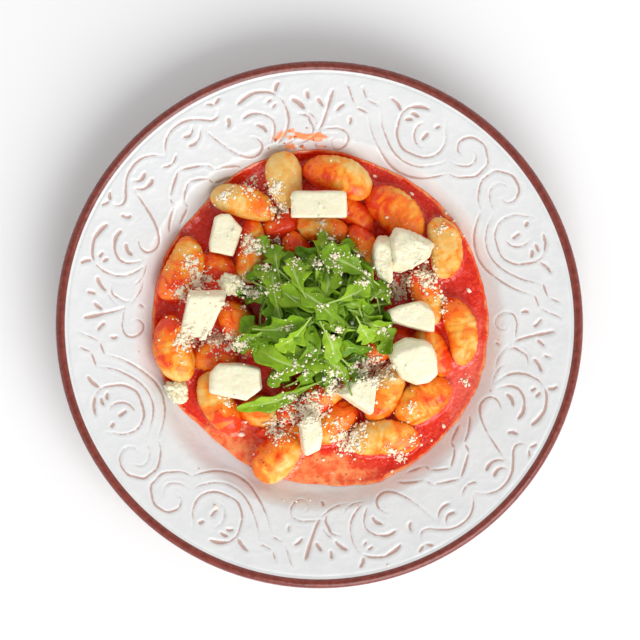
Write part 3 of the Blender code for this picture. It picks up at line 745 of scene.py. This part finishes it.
CHEESE_ROWS = 52
CHEESE_COLUMNS = 84
CHEESE_SHARPNESS = 44
# How torn each chunk is, from 0, cut with a knife, to 1, pulled apart; and how many facets it broke in.
TORN = (0.12, 0.1, 0.08, 0.15, 0.15, 0.2, 0.2, 0.2, 0.5, 0.65, 1.0, 0.9)
FACETS = (0, 0, 0, 2, 4, 6, 4, 2, 7, 16, 8, 6)
# Chunks that are larger than their bodies, and chunks that lean towards a neighbour.
GROWN = {9: 1.14, 10: 1.12, 11: 1.05, 12: 1.05}
NUDGED = {9: (2.3, -0.8, 0), 10: (-0.8, 0, 0)}


def add_chunk(number, finish):
    """A chunk of cheese: along each way, the smooth least distance to the planes of the CAD body's faces
    and of a few broken facets, which is the sum of the inverse distances raised to a high power, with
    that root, and its inverse.

    Noise roughens it, the more so the more it is torn, and a torn one has furrows between its strands, in a
    bell curve round the lines where a drawn-out noise is zero. Sauce has soaked into its foot.
    """
    chance = np.random.default_rng(500 + number)
    shell = shell_of(f"mozzarella_{number:02d}")
    corners = shell.reshape(-1, 3)
    middle = (corners.min(0) + corners.max(0)) / 2
    normal = np.cross(shell[:, 1] - shell[:, 0], shell[:, 2] - shell[:, 0])
    size = np.linalg.norm(normal, axis=1)
    normal = (normal / size[:, None])[size > 0.05]
    away = (normal * (shell[size > 0.05, 0] - middle)).sum(1)
    planes = np.unique(np.round(np.column_stack([normal, away]), 1), axis=0)
    broken = chance.normal(0, 1, (FACETS[number - 1], 3)) * (1, 1, 0.7) + (0, 0, 0.5)  # more of them face up
    broken /= np.linalg.norm(broken, axis=1)[:, None]
    support = ((corners - middle) @ broken.T).max(0) * chance.uniform(0.74, 0.95, len(broken))
    planes = np.vstack([planes, np.column_stack([broken, support])])
    ways = facings(CHEESE_ROWS, CHEESE_COLUMNS, np.array([0.12, 0.05, 1]))
    pull = np.maximum(ways @ planes[:, :3].T, 0) / np.maximum(planes[:, 3], 1)
    reach = (pull**CHEESE_SHARPNESS).sum(1) ** (-1 / CHEESE_SHARPNESS) * GROWN.get(number, 1)
    spots = middle + ways * reach[:, None]
    torn = TORN[number - 1]
    strands = np.abs(noise(spots * (1.6, 1.6, 0.5), 4, 320 + number, 2))
    rough = noise(spots, 6, 200 + number, 2) * (0.3 + 0.8 * torn)
    rough -= 0.75 * torn * np.exp(-((strands / 0.13) ** 2))
    rough += noise(spots * (1, 1, 2.2), 2.6, 230 + number, 3) * (0.14 + 0.85 * torn**2)
    lumps = np.abs(noise(spots, 4, 260 + number, 2))
    rough += 1.6 * smoothstep(0.5, 1, torn) * (np.minimum(lumps * 3, 1) - 0.5)
    points = middle + ways * (reach + rough)[:, None] + NUDGED.get(number, (0, 0, 0))
    low = corners[:, 2].min()
    soak = smoothstep(low + 4.5, low, points[:, 2]) * 0.9
    faces = skin(CHEESE_ROWS, CHEESE_COLUMNS)
    ground.lay(points, faces)
    add_piece(f"cheese_chunk_{number:02d}", points, faces, finish, "mozzarella", [f"mozzarella_{number:02d}"],
              torn=np.full(len(points), torn), soak=soak)


# ---------------------------------------------------------------- the sauce

SAUCE_SIDES = 48
SAUCE_COLUMNS = 420
SAUCE_RINGS = 128
SAUCE_TILT = 0.014
SAUCE_HEADING = math.radians(40)
SAUCE_CLIMB = 1.8
LIP_WIDTH = 2.2
CLEARANCE = 0.08
UNDER_SHARES = np.array([0.995, 0.96, 0.88, 0.7, 0.4])
# Patches: the middle's x and y, the half width and half depth of each, and its strength.
OIL_PATCHES = ((4, -75, 26, 9, 1.2), (-50, -62, 26, 14, 0.8), (62, 55, 12, 16, 0.35), (-80, 20, 8, 30, 0.15))
# Pale patches paint the pink sheen where the sauce reflects the window, mostly along the pool's right edge.
PINK_SHEEN_PATCHES = ((76, -40, 14, 26, 1.0), (-58, -58, 20, 16, 0.5), (82, 0, 8, 26, 0.5))
# Deep patches: partly the sauce's own deep red, partly painted shade in the gaps between the dumplings and
# under the heap (the broad one in the middle).
DEEP_RED_AND_SHADE_PATCHES = ((26, -71, 14, 6, 1.5), (52, 66, 24, 12, 0.7), (0, 45, 48, 22, 0.4), (72, 25, 10, 24, 0.5),
                (-60, 40, 20, 20, 0.6), (0, 0, 50, 40, 0.6))


def patches(listed, x, y):
    """The sum of bell curves over an ellipse each."""
    return sum(s * np.exp(-(((x - a) / w) ** 2) - ((y - b) / d) ** 2) for a, b, w, d, s in listed)


def sauce_edge(around):
    """Distance of the pool's edge at each heading: the CAD body's corners, joined by straight lines in angle,
    with a little noise."""
    corners = shell_of("sauce").reshape(-1, 3)
    turn = np.arctan2(corners[:, 1], corners[:, 0]) % WHOLE_TURN
    nearest = np.round(turn / WHOLE_TURN * SAUCE_SIDES).astype(int) % SAUCE_SIDES
    rim = np.zeros(SAUCE_SIDES)
    np.maximum.at(rim, nearest, np.hypot(corners[:, 0], corners[:, 1]))
    stops = np.arange(SAUCE_SIDES + 1) * WHOLE_TURN / SAUCE_SIDES
    ring = 14 * np.stack([np.cos(around), np.sin(around), np.zeros_like(around)], 1)
    return np.interp(around, stops, np.append(rim, rim[0])) + 0.7 + 0.8 * noise(ring, 1.6, 71)


def add_sauce(covered):
    """The pool: rings of its own uneven outline, and below them rings that follow the plate.

    Its top is the higher of two surfaces. One is level but for a slight tilt and ripples, and drawn up where
    a dumpling stands in it. The other is a film on the plate, whose edge is rounded off as a quarter circle.
    """
    around = np.arange(SAUCE_COLUMNS) * (WHOLE_TURN / SAUCE_COLUMNS)
    edge = sauce_edge(around)
    way = np.stack([np.cos(around), np.sin(around)], 1)
    share = 1 - (1 - (np.arange(SAUCE_RINGS) + 1) / SAUCE_RINGS) ** 1.25
    x, y = (share[:, None] * edge * way[:, axis] for axis in (0, 1))
    reach = np.hypot(x, y)
    spots = np.stack([x, y, np.zeros_like(x)], -1)
    level = SAUCE_LEVEL + SAUCE_TILT * (x * math.cos(SAUCE_HEADING) + y * math.sin(SAUCE_HEADING))
    level = level + noise(spots, 5, 61) * 0.5 + noise(spots, 1.9, 62) * 0.28
    climb = SAUCE_CLIMB * smoothstep(0.05, 0.75, covered[ground.index(spots)])
    inward = np.clip((edge - reach) / LIP_WIDTH, 0, 1)
    lip = np.sqrt(inward * (2 - inward)) * (1 + 0.5 * noise(spots, 4, 63))
    film = eating_side(reach) + 0.25 + 1.1 * lip
    top = np.where(level > film, level + climb, film)
    under_x, under_y = (UNDER_SHARES[:, None] * edge * way[:, axis] for axis in (0, 1))
    under = eating_side(np.hypot(under_x, under_y)) + CLEARANCE
    body = np.concatenate([np.stack([x, y, top], -1), np.stack([under_x, under_y, under], -1)])
    points = np.vstack([[0, 0, SAUCE_LEVEL], body.reshape(-1, 3), [0, 0, WELL_FLOOR[1] + CLEARANCE]])
    margin = np.pad(np.repeat(np.concatenate([share, UNDER_SHARES]), SAUCE_COLUMNS), 1)
    oil, pale, deep = (patches(listed, *points.T[:2]) for listed in (OIL_PATCHES, PINK_SHEEN_PATCHES, DEEP_RED_AND_SHADE_PATCHES))
    oil += 0.85 * smoothstep(0.968, 1.0, margin)
    faces = skin(len(body), SAUCE_COLUMNS)
    ground.lay(points, faces)
    add_piece("sauce_pool", points, faces, tomato_sauce(), "tomato_sauce", ["sauce"],
              oil=oil, pale=pale, deep=deep)


def cover_of(height, level, passes):
    """How much of each cell's neighbourhood stands above the level: the mask, blurred a number of times."""
    mask = (height > level).astype(float)
    for _ in range(passes):
        for axis in (0, 1):
            mask = (np.roll(mask, 1, axis) + 2 * mask + np.roll(mask, -1, axis)) / 4
    return mask


# ---------------------------------------------------------------- rocket

HEAP = (-3.2, 5.0)
HEAP_HALVES = (37.0, 38.0)
HEAP_EDGE = 24.0
HEAP_RISE = 20.0
LEAF_ROWS = 34
LEAF_TOP = np.array([1, 0.78, 0.5, 0.24, 0, -0.24, -0.5, -0.78, -1.0])
LEAF_THICKNESS = 0.32

# Leaves that lie on top: how high above the heap, the width, how lobed, the roll in degrees, and the
# midrib's places from the stem to the tip.
TOP_LEAVES = (
    (3.0, 18.0, 0.55, 10, (-34.5, -2.2), (-24, -2.6), (-14, -0.2), (-6.9, 2.4)),
    (3.5, 16.8, 0.6, -15, (-22.2, 29), (-10, 18), (3, 8), (11.6, -3.7)),
    (1.0, 12.0, 0.5, 12, (-25.3, 33), (-28.5, 40), (-30.4, 45.4)),
    (1.5, 13.2, 0.5, -10, (-20.1, 22.9), (-22, 32), (-23.2, 41.3)),
    (2.2, 18.0, 0.5, 18, (16.7, -36.5), (10.5, -23.2), (0.3, -17.6), (-9.9, -18.1)),
    (1.0, 8.4, 0.35, -8, (8, -26), (-8, -33), (-20, -38.5), (-32, -41.5), (-43, -43)),
    (4.5, 19.2, 0.5, 6, (31, 19.8), (20, 28), (8, 34), (0.3, 36.2)),
    (3.5, 18.0, 0.35, -12, (25.9, 12.6), (31, 16.5), (36.5, 18.5)),
    (4.0, 14.4, 0.6, 10, (18.7, 4.5), (22, -2), (25.9, -8.9)),
    (1.5, 13.2, 0.5, 20, (20, 2), (30, -1), (36.1, -5.3)),
    (1.0, 10.8, 0.6, -20, (8, -14), (16, -22), (21.8, -28.3)),
    (1.2, 12.0, 0.6, 15, (-10, -14), (-18, -24), (-26.3, -31.3)),
    (1.5, 13.2, 0.6, -15, (-26, -2), (-36, -8), (-44.7, -11.9)),
    (1.0, 10.8, 0.6, 10, (-2, 28), (1, 40), (2.4, 48.4)),
    (1.2, 12.0, 0.5, -12, (8, 26), (13, 36), (15.6, 44.3)),
    (4.5, 15.6, 0.6, 25, (-6, 12), (-12, 24), (-14, 34)),
    (5.0, 14.4, 0.6, -25, (-4, 4), (-12, -6), (-22, -12)),
    (5.0, 15.6, 0.6, 12, (2, 10), (14, 14), (26, 20)),
    (4.5, 14.4, 0.55, -18, (0, 2), (6, -10), (8, -20)),
)
LOOSE_LEAVES = 78
LOOSE_SPREAD = 30.0
LEAF_SEED = 23
# The highest that the midrib of a loose leaf, and any part of a leaf, may come.
MIDRIB_CEILING = 52.0
LEAF_CEILING = 53.0
CORE_COLUMNS = 90
CORE_RINGS = 36
CORE_REACH = 27.0
CORE_FLOOR = 14.0
CORE_UNDER_SHARES = (0.94, 0.8, 0.5, 0.25)


def heap_height(places):
    """The heap as a dome over an ellipse: 1 less the squared distance from its middle, to a power."""
    away = (places - np.array(HEAP)) / HEAP_HALVES
    share = np.clip(1 - (away**2).sum(-1), 0, 1)
    return HEAP_EDGE + HEAP_RISE * share**0.75


def leaf_body(path, width, lobes, roll, chance):
    """A rocket leaf along its midrib, as closed rings of points across it.

    The half width grows from a thin stalk to a blade that is widest past the middle and closes at a
    rounded tip, less the sinuses between pointed lobes, where a sine folded up at zero makes the points.
    Every leaf has its own lobes, and its two sides differ. Across, the blade folds up in a V,
    ripples, and thins to its edge; the underside is the top moved down by the thickness. Returns the
    points, and for each of them how far along and across it lies and how much it belongs to the midrib.
    """
    line = spline(path, 12)
    stops = np.concatenate([[0], np.cumsum(np.linalg.norm(np.diff(line, axis=0), axis=1))])
    share = (np.arange(LEAF_ROWS) + 0.5) / LEAF_ROWS
    spine = np.stack([np.interp(share * stops[-1], stops, line[:, axis]) for axis in range(3)], 1)
    ahead = np.gradient(spine, axis=0)
    ahead /= np.linalg.norm(ahead, axis=1)[:, None]
    side = np.cross([0, 0, 1], ahead)
    side /= np.maximum(np.linalg.norm(side, axis=1), 1e-6)[:, None]
    up = np.cross(ahead, side)
    tilt = np.radians(roll) + chance.uniform(-0.5, 0.5) * (share - 0.3)
    side, up = (side * np.cos(tilt)[:, None] + up * np.sin(tilt)[:, None],
                up * np.cos(tilt)[:, None] - side * np.sin(tilt)[:, None])
    stalk = chance.uniform(0.16, 0.34)
    blade = np.clip((share - stalk) / (1 - stalk), 0, 1)
    whole = np.sin(math.pi * blade**1.15) ** 0.7 * (0.65 + 0.35 * smoothstep(0, 0.5, blade))
    count = chance.uniform(1.6, 3.4)
    halves = []
    for _ in range(2):
        tooth = 1 - np.abs(np.sin(math.pi * (count * (1 - blade**1.2) + chance.uniform(0.2, 0.8))))
        sinus = (1 - tooth**0.7) * smoothstep(1.0, 0.7, blade) * smoothstep(0, 0.1, blade)
        uneven = 1 + 0.15 * np.sin(WHOLE_TURN * (chance.uniform(0.8, 1.6) * blade + chance.uniform()))
        halves.append(0.5 + width / 2 * whole * uneven * (1 - lobes * chance.uniform(0.8, 1.1) * sinus))
    across = LEAF_TOP[None, :]
    half = np.where(across < 0, halves[0][:, None], halves[1][:, None])
    offset = across * half
    fold = chance.uniform(0.05, 0.55)
    curl = chance.uniform(-0.4, 0.35)
    beat, phase = chance.uniform(2, 4), chance.uniform(0, WHOLE_TURN, 2)
    wave = np.sin(beat * WHOLE_TURN * share[:, None] + np.where(across < 0, phase[0], phase[1]))
    lift = np.abs(offset) * fold + curl * offset**2 / (width / 2) + 0.11 * np.abs(offset) * wave
    top = spine[:, None] + side[:, None] * offset[..., None] + up[:, None] * lift[..., None]
    thin = LEAF_THICKNESS * (0.35 + 0.65 * (1 - across**2)) + 0.5 * np.exp(-((offset / 0.5) ** 2))
    low = top - up[:, None] * thin[..., None]
    rings = np.concatenate([top, low[:, -2:0:-1]], 1)
    ends = spine[0] - ahead[0] * 0.4, spine[-1] + ahead[-1] * 0.4
    rib = np.exp(-((offset / 0.4) ** 2)) * smoothstep(1.05, 0.6, share)[:, None]
    layers = [np.broadcast_to(share[:, None] * stops[-1] / 60, offset.shape), offset / (width / 2), rib]
    layers = [np.concatenate([values, values[:, -2:0:-1]], 1).ravel() for values in layers]
    points = np.vstack([ends[0], rings.reshape(-1, 3), ends[1]])
    return points, [np.concatenate([values[:1], values, values[-1:]]) for values in layers]


def loose_path(chance):
    """The midrib of a leaf anywhere in the heap, and its depth: a parabola in plan, mostly pointing outwards
    and drawn in at the heap's edge, that follows the dome at that depth with a slope and an arch."""
    turn, away = chance.uniform(0, WHOLE_TURN), LOOSE_SPREAD * math.sqrt(chance.uniform(0, 1))
    middle = np.array(HEAP) + away * np.array([math.cos(turn), math.sin(turn)])
    heading = turn + chance.normal(0, 0.9) + (math.pi if chance.uniform() < 0.25 else 0)
    length = chance.uniform(24, 46)
    ahead = np.array([math.cos(heading), math.sin(heading)])
    bend = np.array([-ahead[1], ahead[0]]) * chance.normal(0, 0.16) * length
    steps = np.linspace(-0.5, 0.5, 5)[:, None]
    plan = middle + ahead * length * steps + bend * (0.25 - steps**2) * 2
    outside = np.maximum(np.linalg.norm((plan - HEAP) / 40, axis=1) - 1, 0)[:, None]
    plan = plan - (plan - HEAP) * np.minimum(outside, 0.5)
    depth = chance.uniform(0, 1) ** 1.4 * 9
    slope, arch = chance.uniform(-2.5, 2.5), chance.uniform(-1.5, 2.5)
    rise = slope * steps[:, 0] + arch * (1 - 4 * steps[:, 0] ** 2)
    level = np.maximum(heap_height(plan) - depth + rise, ground.at(plan) + 1.2)
    return np.column_stack([plan, np.minimum(level, MIDRIB_CEILING)]), depth


def top_path(lift, places):
    """The midrib of a leaf on top: a smooth line through the places, at the dome's height and the lift."""
    plan = spline(places, 3)
    level = np.maximum(heap_height(plan) + lift, ground.at(plan) + 1.4 + lift * 0.3)
    level = np.convolve(np.pad(level, 1, "edge"), (0.25, 0.5, 0.25), "valid")
    return np.column_stack([plan, level])


def add_rocket():
    """The heap: leaves laid through it at every depth, darker with painted shade the deeper they lie, the
    leaves on top, and a core in painted shade.
    No part of a leaf goes below what it lies on."""
    chance = np.random.default_rng(LEAF_SEED)
    leaves, leaf_tones_and_shade = [], []
    for _ in range(LOOSE_LEAVES):
        path, depth = loose_path(chance)
        width, roll = chance.uniform(8, 16), chance.normal(0, 28)
        leaves.append(leaf_body(path, width, chance.uniform(0.45, 0.85), roll, chance))
        # A loose leaf's own tone, darkened by painted shade the deeper it lies in the heap.
        leaf_tones_and_shade.append(np.clip(chance.uniform(0, 0.75) - depth / 14, 0, 1))
    for lift, width, lobes, roll, *places in TOP_LEAVES:
        leaves.append(leaf_body(top_path(lift, places), width, lobes, roll, chance))
        leaf_tones_and_shade.append(chance.uniform(0.3, 0.95))
    leaf_points = len(leaves[0][0])
    around = 2 * len(LEAF_TOP) - 2
    faces = tuple(repeated(part, len(leaves), leaf_points) for part in skin(LEAF_ROWS, around))
    points = np.vstack([body for body, _ in leaves])
    points[:, 2] = np.clip(points[:, 2], ground.at(points) + 0.4, LEAF_CEILING)
    along, across, rib = np.hstack([layers for _, layers in leaves])
    tint = np.repeat(leaf_tones_and_shade, leaf_points)
    add_piece("rocket_leaves", points, faces, rocket_leaf(), "rocket_leaf",
              along=along, across=across, rib=rib, tint=tint)
    add_heap_core()
    ground.lay(points, faces)


def add_heap_core():
    """What fills the heap under its leaves, dark green as painted shade: the dome, sunk and drawn in, with
    lumps, over a flat underside.
    Its outline is a circle with three low bulges."""
    around = np.arange(CORE_COLUMNS) * (WHOLE_TURN / CORE_COLUMNS)
    share = np.concatenate([np.linspace(0.04, 1, CORE_RINGS), CORE_UNDER_SHARES])
    way = np.stack([np.cos(around), np.sin(around)], 1) * (1 + 0.12 * np.sin(3 * around + 1)[:, None])
    plan = np.array(HEAP) + share[:, None, None] * CORE_REACH * way
    lumps = noise(np.pad(plan, ((0, 0), (0, 0), (0, 1))), 9, 301) * 2.6
    height = np.maximum(heap_height(plan) - 10 + lumps, CORE_FLOOR + 1)
    height[CORE_RINGS - 1] = CORE_FLOOR + 1
    height[CORE_RINGS:] = CORE_FLOOR
    body = np.concatenate([plan, height[..., None]], -1).reshape(-1, 3)
    points = np.vstack([[*HEAP, height[0].mean()], body, [*HEAP, CORE_FLOOR]])
    # The core wears the painted shade of the heap's inside.
    add_piece("rocket_core", points, skin(len(share), CORE_COLUMNS), shaded_leaf(), "rocket_leaf", ["rocket"])


# ---------------------------------------------------------------- grated cheese, specks and droplets

# Drifts of grated cheese: the middle's x and y, the half width and half depth, and how thick it lies.
DRIFTS = (
    (14, -58, 9, 6.5, 110), (26.5, -22, 8, 7, 140), (-53, -7, 8, 6, 100), (-41, -9.5, 4, 5, 36),
    (-69, -9, 5, 5, 55), (50, 25, 9, 4, 85), (-34, 17, 5, 3.5, 36), (-62, 21, 7, 3.5, 60),
    (-71, 17.5, 3, 2.5, 25), (-35.5, 41.5, 3.2, 5.5, 50), (-38, 75, 6, 6, 50), (-49.5, 66, 3, 4, 28),
    (-20, 60.5, 5.5, 3, 38), (2, -33, 11, 4.5, 52), (-8, -45, 14, 8, 160), (-64, 32, 5, 5, 30),
    (-24, 65, 3, 6, 30), (-20, 19, 3.5, 3.5, 8), (8, 30, 3.5, 3.5, 8), (-2, 5, 24, 24, 12),
    (-47, 75, 5, 4, 18), (41, 16, 4, 3, 25), (64, 12, 2, 8, 14), (0, 0, 66, 66, 170), (42, -61, 12, 7, 26),
    (70, 50, 7, 9, 20), (-12, -22, 10, 6, 9), (-20, -55, 8, 5, 30),
)
# Larger crumbs: x, y and length.
CRUMBS = (
    (28.4, 76.6, 2.6), (47.4, 67.4, 2.8), (34.6, 55.1, 2.2), (65.3, 57.6, 2.4), (77, 17.7, 3.2),
    (64.2, -52.3, 3.0), (-40.6, -56.4, 4.4), (36.1, -0.2, 2.4), (37.6, -75.8, 2.0), (-53.4, -93.7, 2.6),
    (-18.6, -90.7, 1.4), (-12, -91.2, 1.8), (-4.8, -90.7, 1.5), (69.3, 53.5, 1.6), (74.5, 45.9, 1.6),
    (16.4, 0.4, 3.4), (2, -70, 2.0), (-64, 40, 2.0), (58, -60, 1.8), (6, 84, 1.8), (-38, -50, 2.8),
    (35.1, -123.4, 1.7),
)
SHREDS = 6.4
CRUMB_LIMIT = 84.0
ROUND_FACES = ((0, 11, 5), (0, 5, 1), (0, 1, 7), (0, 7, 10), (0, 10, 11), (1, 5, 9), (5, 11, 4), (11, 10, 2),
               (10, 7, 6), (7, 1, 8), (3, 9, 4), (3, 4, 2), (3, 2, 6), (3, 6, 8), (3, 8, 9), (4, 9, 5),
               (2, 4, 11), (6, 2, 10), (8, 6, 7), (9, 8, 1))


def round_points():
    """The twelve corners of an icosahedron: 1 and the golden ratio, with every sign, on each pair of axes."""
    golden = (1 + 5**0.5) / 2
    corners = np.array([(-1, golden, 0), (1, golden, 0), (-1, -golden, 0), (1, -golden, 0)])
    return np.vstack([np.roll(corners, turn, 1) for turn in (0, 1, -1)]) / math.hypot(1, golden)


def scattered(places, sizes, chance, sink=0.25):
    """A crumb at each place: twelve corners pushed about, stretched to its size, laid on the slope there and
    sunk into it by a share of its thickness."""
    count = len(places)
    body = round_points()
    corners = len(body)
    body = body[None] * (1 + chance.uniform(-0.28, 0.28, (count, corners, 1))) * sizes[:, None] / 2
    normal = ground.slope(places)
    heading = chance.uniform(0, WHOLE_TURN, count)
    ahead = np.stack([np.cos(heading), np.sin(heading), np.zeros(count)], 1)
    ahead = ahead - normal * (ahead * normal).sum(1)[:, None]
    ahead /= np.linalg.norm(ahead, axis=1)[:, None]
    axes = np.stack([ahead, np.cross(normal, ahead), normal], 1)
    seat = np.column_stack([places, ground.at(places)]) + normal * (sizes[:, 2:] * (0.5 - sink))
    points = np.einsum("nij,njk->nik", body, axes) + seat[:, None]
    return points.reshape(-1, 3), (repeated(np.array(ROUND_FACES), count, corners), np.zeros((0, 4), int))


def add_grated_cheese():
    """Shreds in drifts, thinning outwards, and larger crumbs, each lying on what is below it.

    A drift is a handful of clumps at random in it, and a shred lies at a clump, off by a normal spread.
    """
    chance = np.random.default_rng(31)
    drifts = []
    for x, y, width, depth, count in DRIFTS:
        clumps = (x, y) + chance.normal(0, 0.55, (max(count // 7, 3), 2)) * (width, depth)
        chosen = clumps[chance.integers(0, len(clumps), int(count * SHREDS))]
        away = chance.normal(0, 1.6, chosen.shape) * chance.gamma(1.4, 0.8, (len(chosen), 1))
        drifts.append(chosen + away)
    shreds = np.vstack(drifts)
    shreds = shreds[np.hypot(*shreds.T) < CRUMB_LIMIT]
    length = chance.gamma(4.0, 0.26, len(shreds)).clip(0.45, 2.6)
    thickness = length[:, None] * chance.uniform(0.4, 0.95, (len(shreds), 2)).clip(0.3, 1.4)
    crumbs = np.array(CRUMBS)
    places = np.vstack([shreds, crumbs[:, :2]])
    sizes = np.vstack([np.column_stack([length, thickness]), crumbs[:, 2:] * (1, 0.75, 0.6)])
    points, faces = scattered(places, sizes, chance)
    tint = np.repeat(chance.uniform(0, 1, len(places)), len(points) // len(places))
    add_piece("grated_cheese", points, faces, grated_cheese(), "mozzarella", tint=tint)


# Specks and drops: x, y and length.
SPECKS = (
    (-28.8, -70.7, 1.0), (-27.4, -72.2, 0.7), (-43.2, -51.8, 1.0), (-30.1, -69.6, 0.6), (12, 70, 0.6),
    (50, -35, 0.6), (-62, 30, 0.6),
)
SPLASHES = (
    (-22.7, 95, 2.0), (-18, 93.4, 1.4), (-12.5, 96.5, 1.8), (-6.5, 101, 1.2), (-9, 92, 2.4), (-3, 95, 1.3),
    (3, 91.8, 1.6), (-15.5, 99.6, 1.0), (0.6, 99, 0.9), (-1.5, 103.5, 0.8), (-26, 90.6, 1.2), (92, -8, 0.8),
    (-93, -14, 0.7), (88, -34, 0.9), (-62, -74, 0.9), (20, -93, 0.8),
)


def add_small_things():
    """Dark specks on the dough, and drops of sauce spattered on the rim."""
    chance = np.random.default_rng(37)
    for name, listed, flat, finish, slot in (
        ("herb_specks", SPECKS, 0.5, dark_specks(), "rocket_leaf"),
        ("sauce_splashes", SPLASHES, 0.32, droplets_of_sauce(), "tomato_sauce"),
    ):
        table = np.array(listed)
        points, faces = scattered(table[:, :2], table[:, 2:] * (1, 0.8, flat), chance, 0.1)
        add_piece(name, points, faces, finish, slot)


# ---------------------------------------------------------------- stage


FLOOR_HALF = 1.5
CAMERA_PLACE = (0.0003, 0.0024, 1.6)
CAMERA_LENS = 172.7
# The sky's strength, faded between two heights of the direction looked in: dimmer overhead, so that the
# relief on the rim shows.
SKY_FADE = {"From Min": 0.45, "From Max": 0.95, "To Min": 1.0, "To Max": 0.28}


def add_stage():
    """A pale floor, a sky that is dimmer overhead, a large soft light from the front, and a camera above."""
    mesh = bpy.data.meshes.new("floor")
    corners = [(x * FLOOR_HALF, y * FLOOR_HALF, 0) for x, y in ((-1, -1), (1, -1), (1, 1), (-1, 1))]
    mesh.from_pydata(corners, [], [(0, 1, 2, 3)])
    mesh.materials.append(pale_floor())
    floor = bpy.data.objects.new("floor", mesh)
    bpy.context.scene.collection.objects.link(floor)

    world = bpy.data.worlds.new("studio")
    world.use_nodes = True
    shade = world.node_tree.nodes["Background"]
    shade.inputs["Color"].default_value = (1, 1, 1, 1)
    make, join = world.node_tree.nodes.new, world.node_tree.links.new
    way = make("ShaderNodeTexCoord")
    parts = make("ShaderNodeSeparateXYZ")
    fade = make("ShaderNodeMapRange")
    fade.interpolation_type = "SMOOTHSTEP"
    for title, value in SKY_FADE.items():
        fade.inputs[title].default_value = value
    join(way.outputs["Generated"], parts.inputs[0])
    join(parts.outputs["Z"], fade.inputs["Value"])
    join(fade.outputs[0], shade.inputs["Strength"])
    bpy.context.scene.world = world
    add_light("window", (0.5, -1.0, 0.95), 1.3, 21.5)

    camera = bpy.data.objects.new("camera", bpy.data.cameras.new("camera"))
    camera.location = CAMERA_PLACE
    camera.data.lens = CAMERA_LENS
    camera.data.sensor_width = 36
    bpy.context.scene.collection.objects.link(camera)
    bpy.context.scene.camera = camera
    bpy.context.scene.view_settings.view_transform = "Standard"


def add_light(name, place, size, power):
    """A square soft light that faces the middle of the dish."""
    light = bpy.data.lights.new(name, "AREA")
    light.size = size
    light.energy = power
    lamp = bpy.data.objects.new(name, light)
    x, y, z = place
    lamp.location = place
    lamp.rotation_euler = (math.atan2(math.hypot(x, y), z), 0, math.atan2(y, x) + math.pi / 2)
    bpy.context.scene.collection.objects.link(lamp)


def main():
    add_plate()
    dough = dumpling_dough()
    for number in range(1, len(COATS) + 1):
        add_dumpling(number, dough)
    add_sauce(cover_of(ground.height, SAUCE_LEVEL + 2.2, 3))
    cheese = fresh_cheese()
    for number in range(1, len(TORN) + 1):
        add_chunk(number, cheese)
    add_rocket()
    add_grated_cheese()
    add_small_things()
    add_stage()


main()
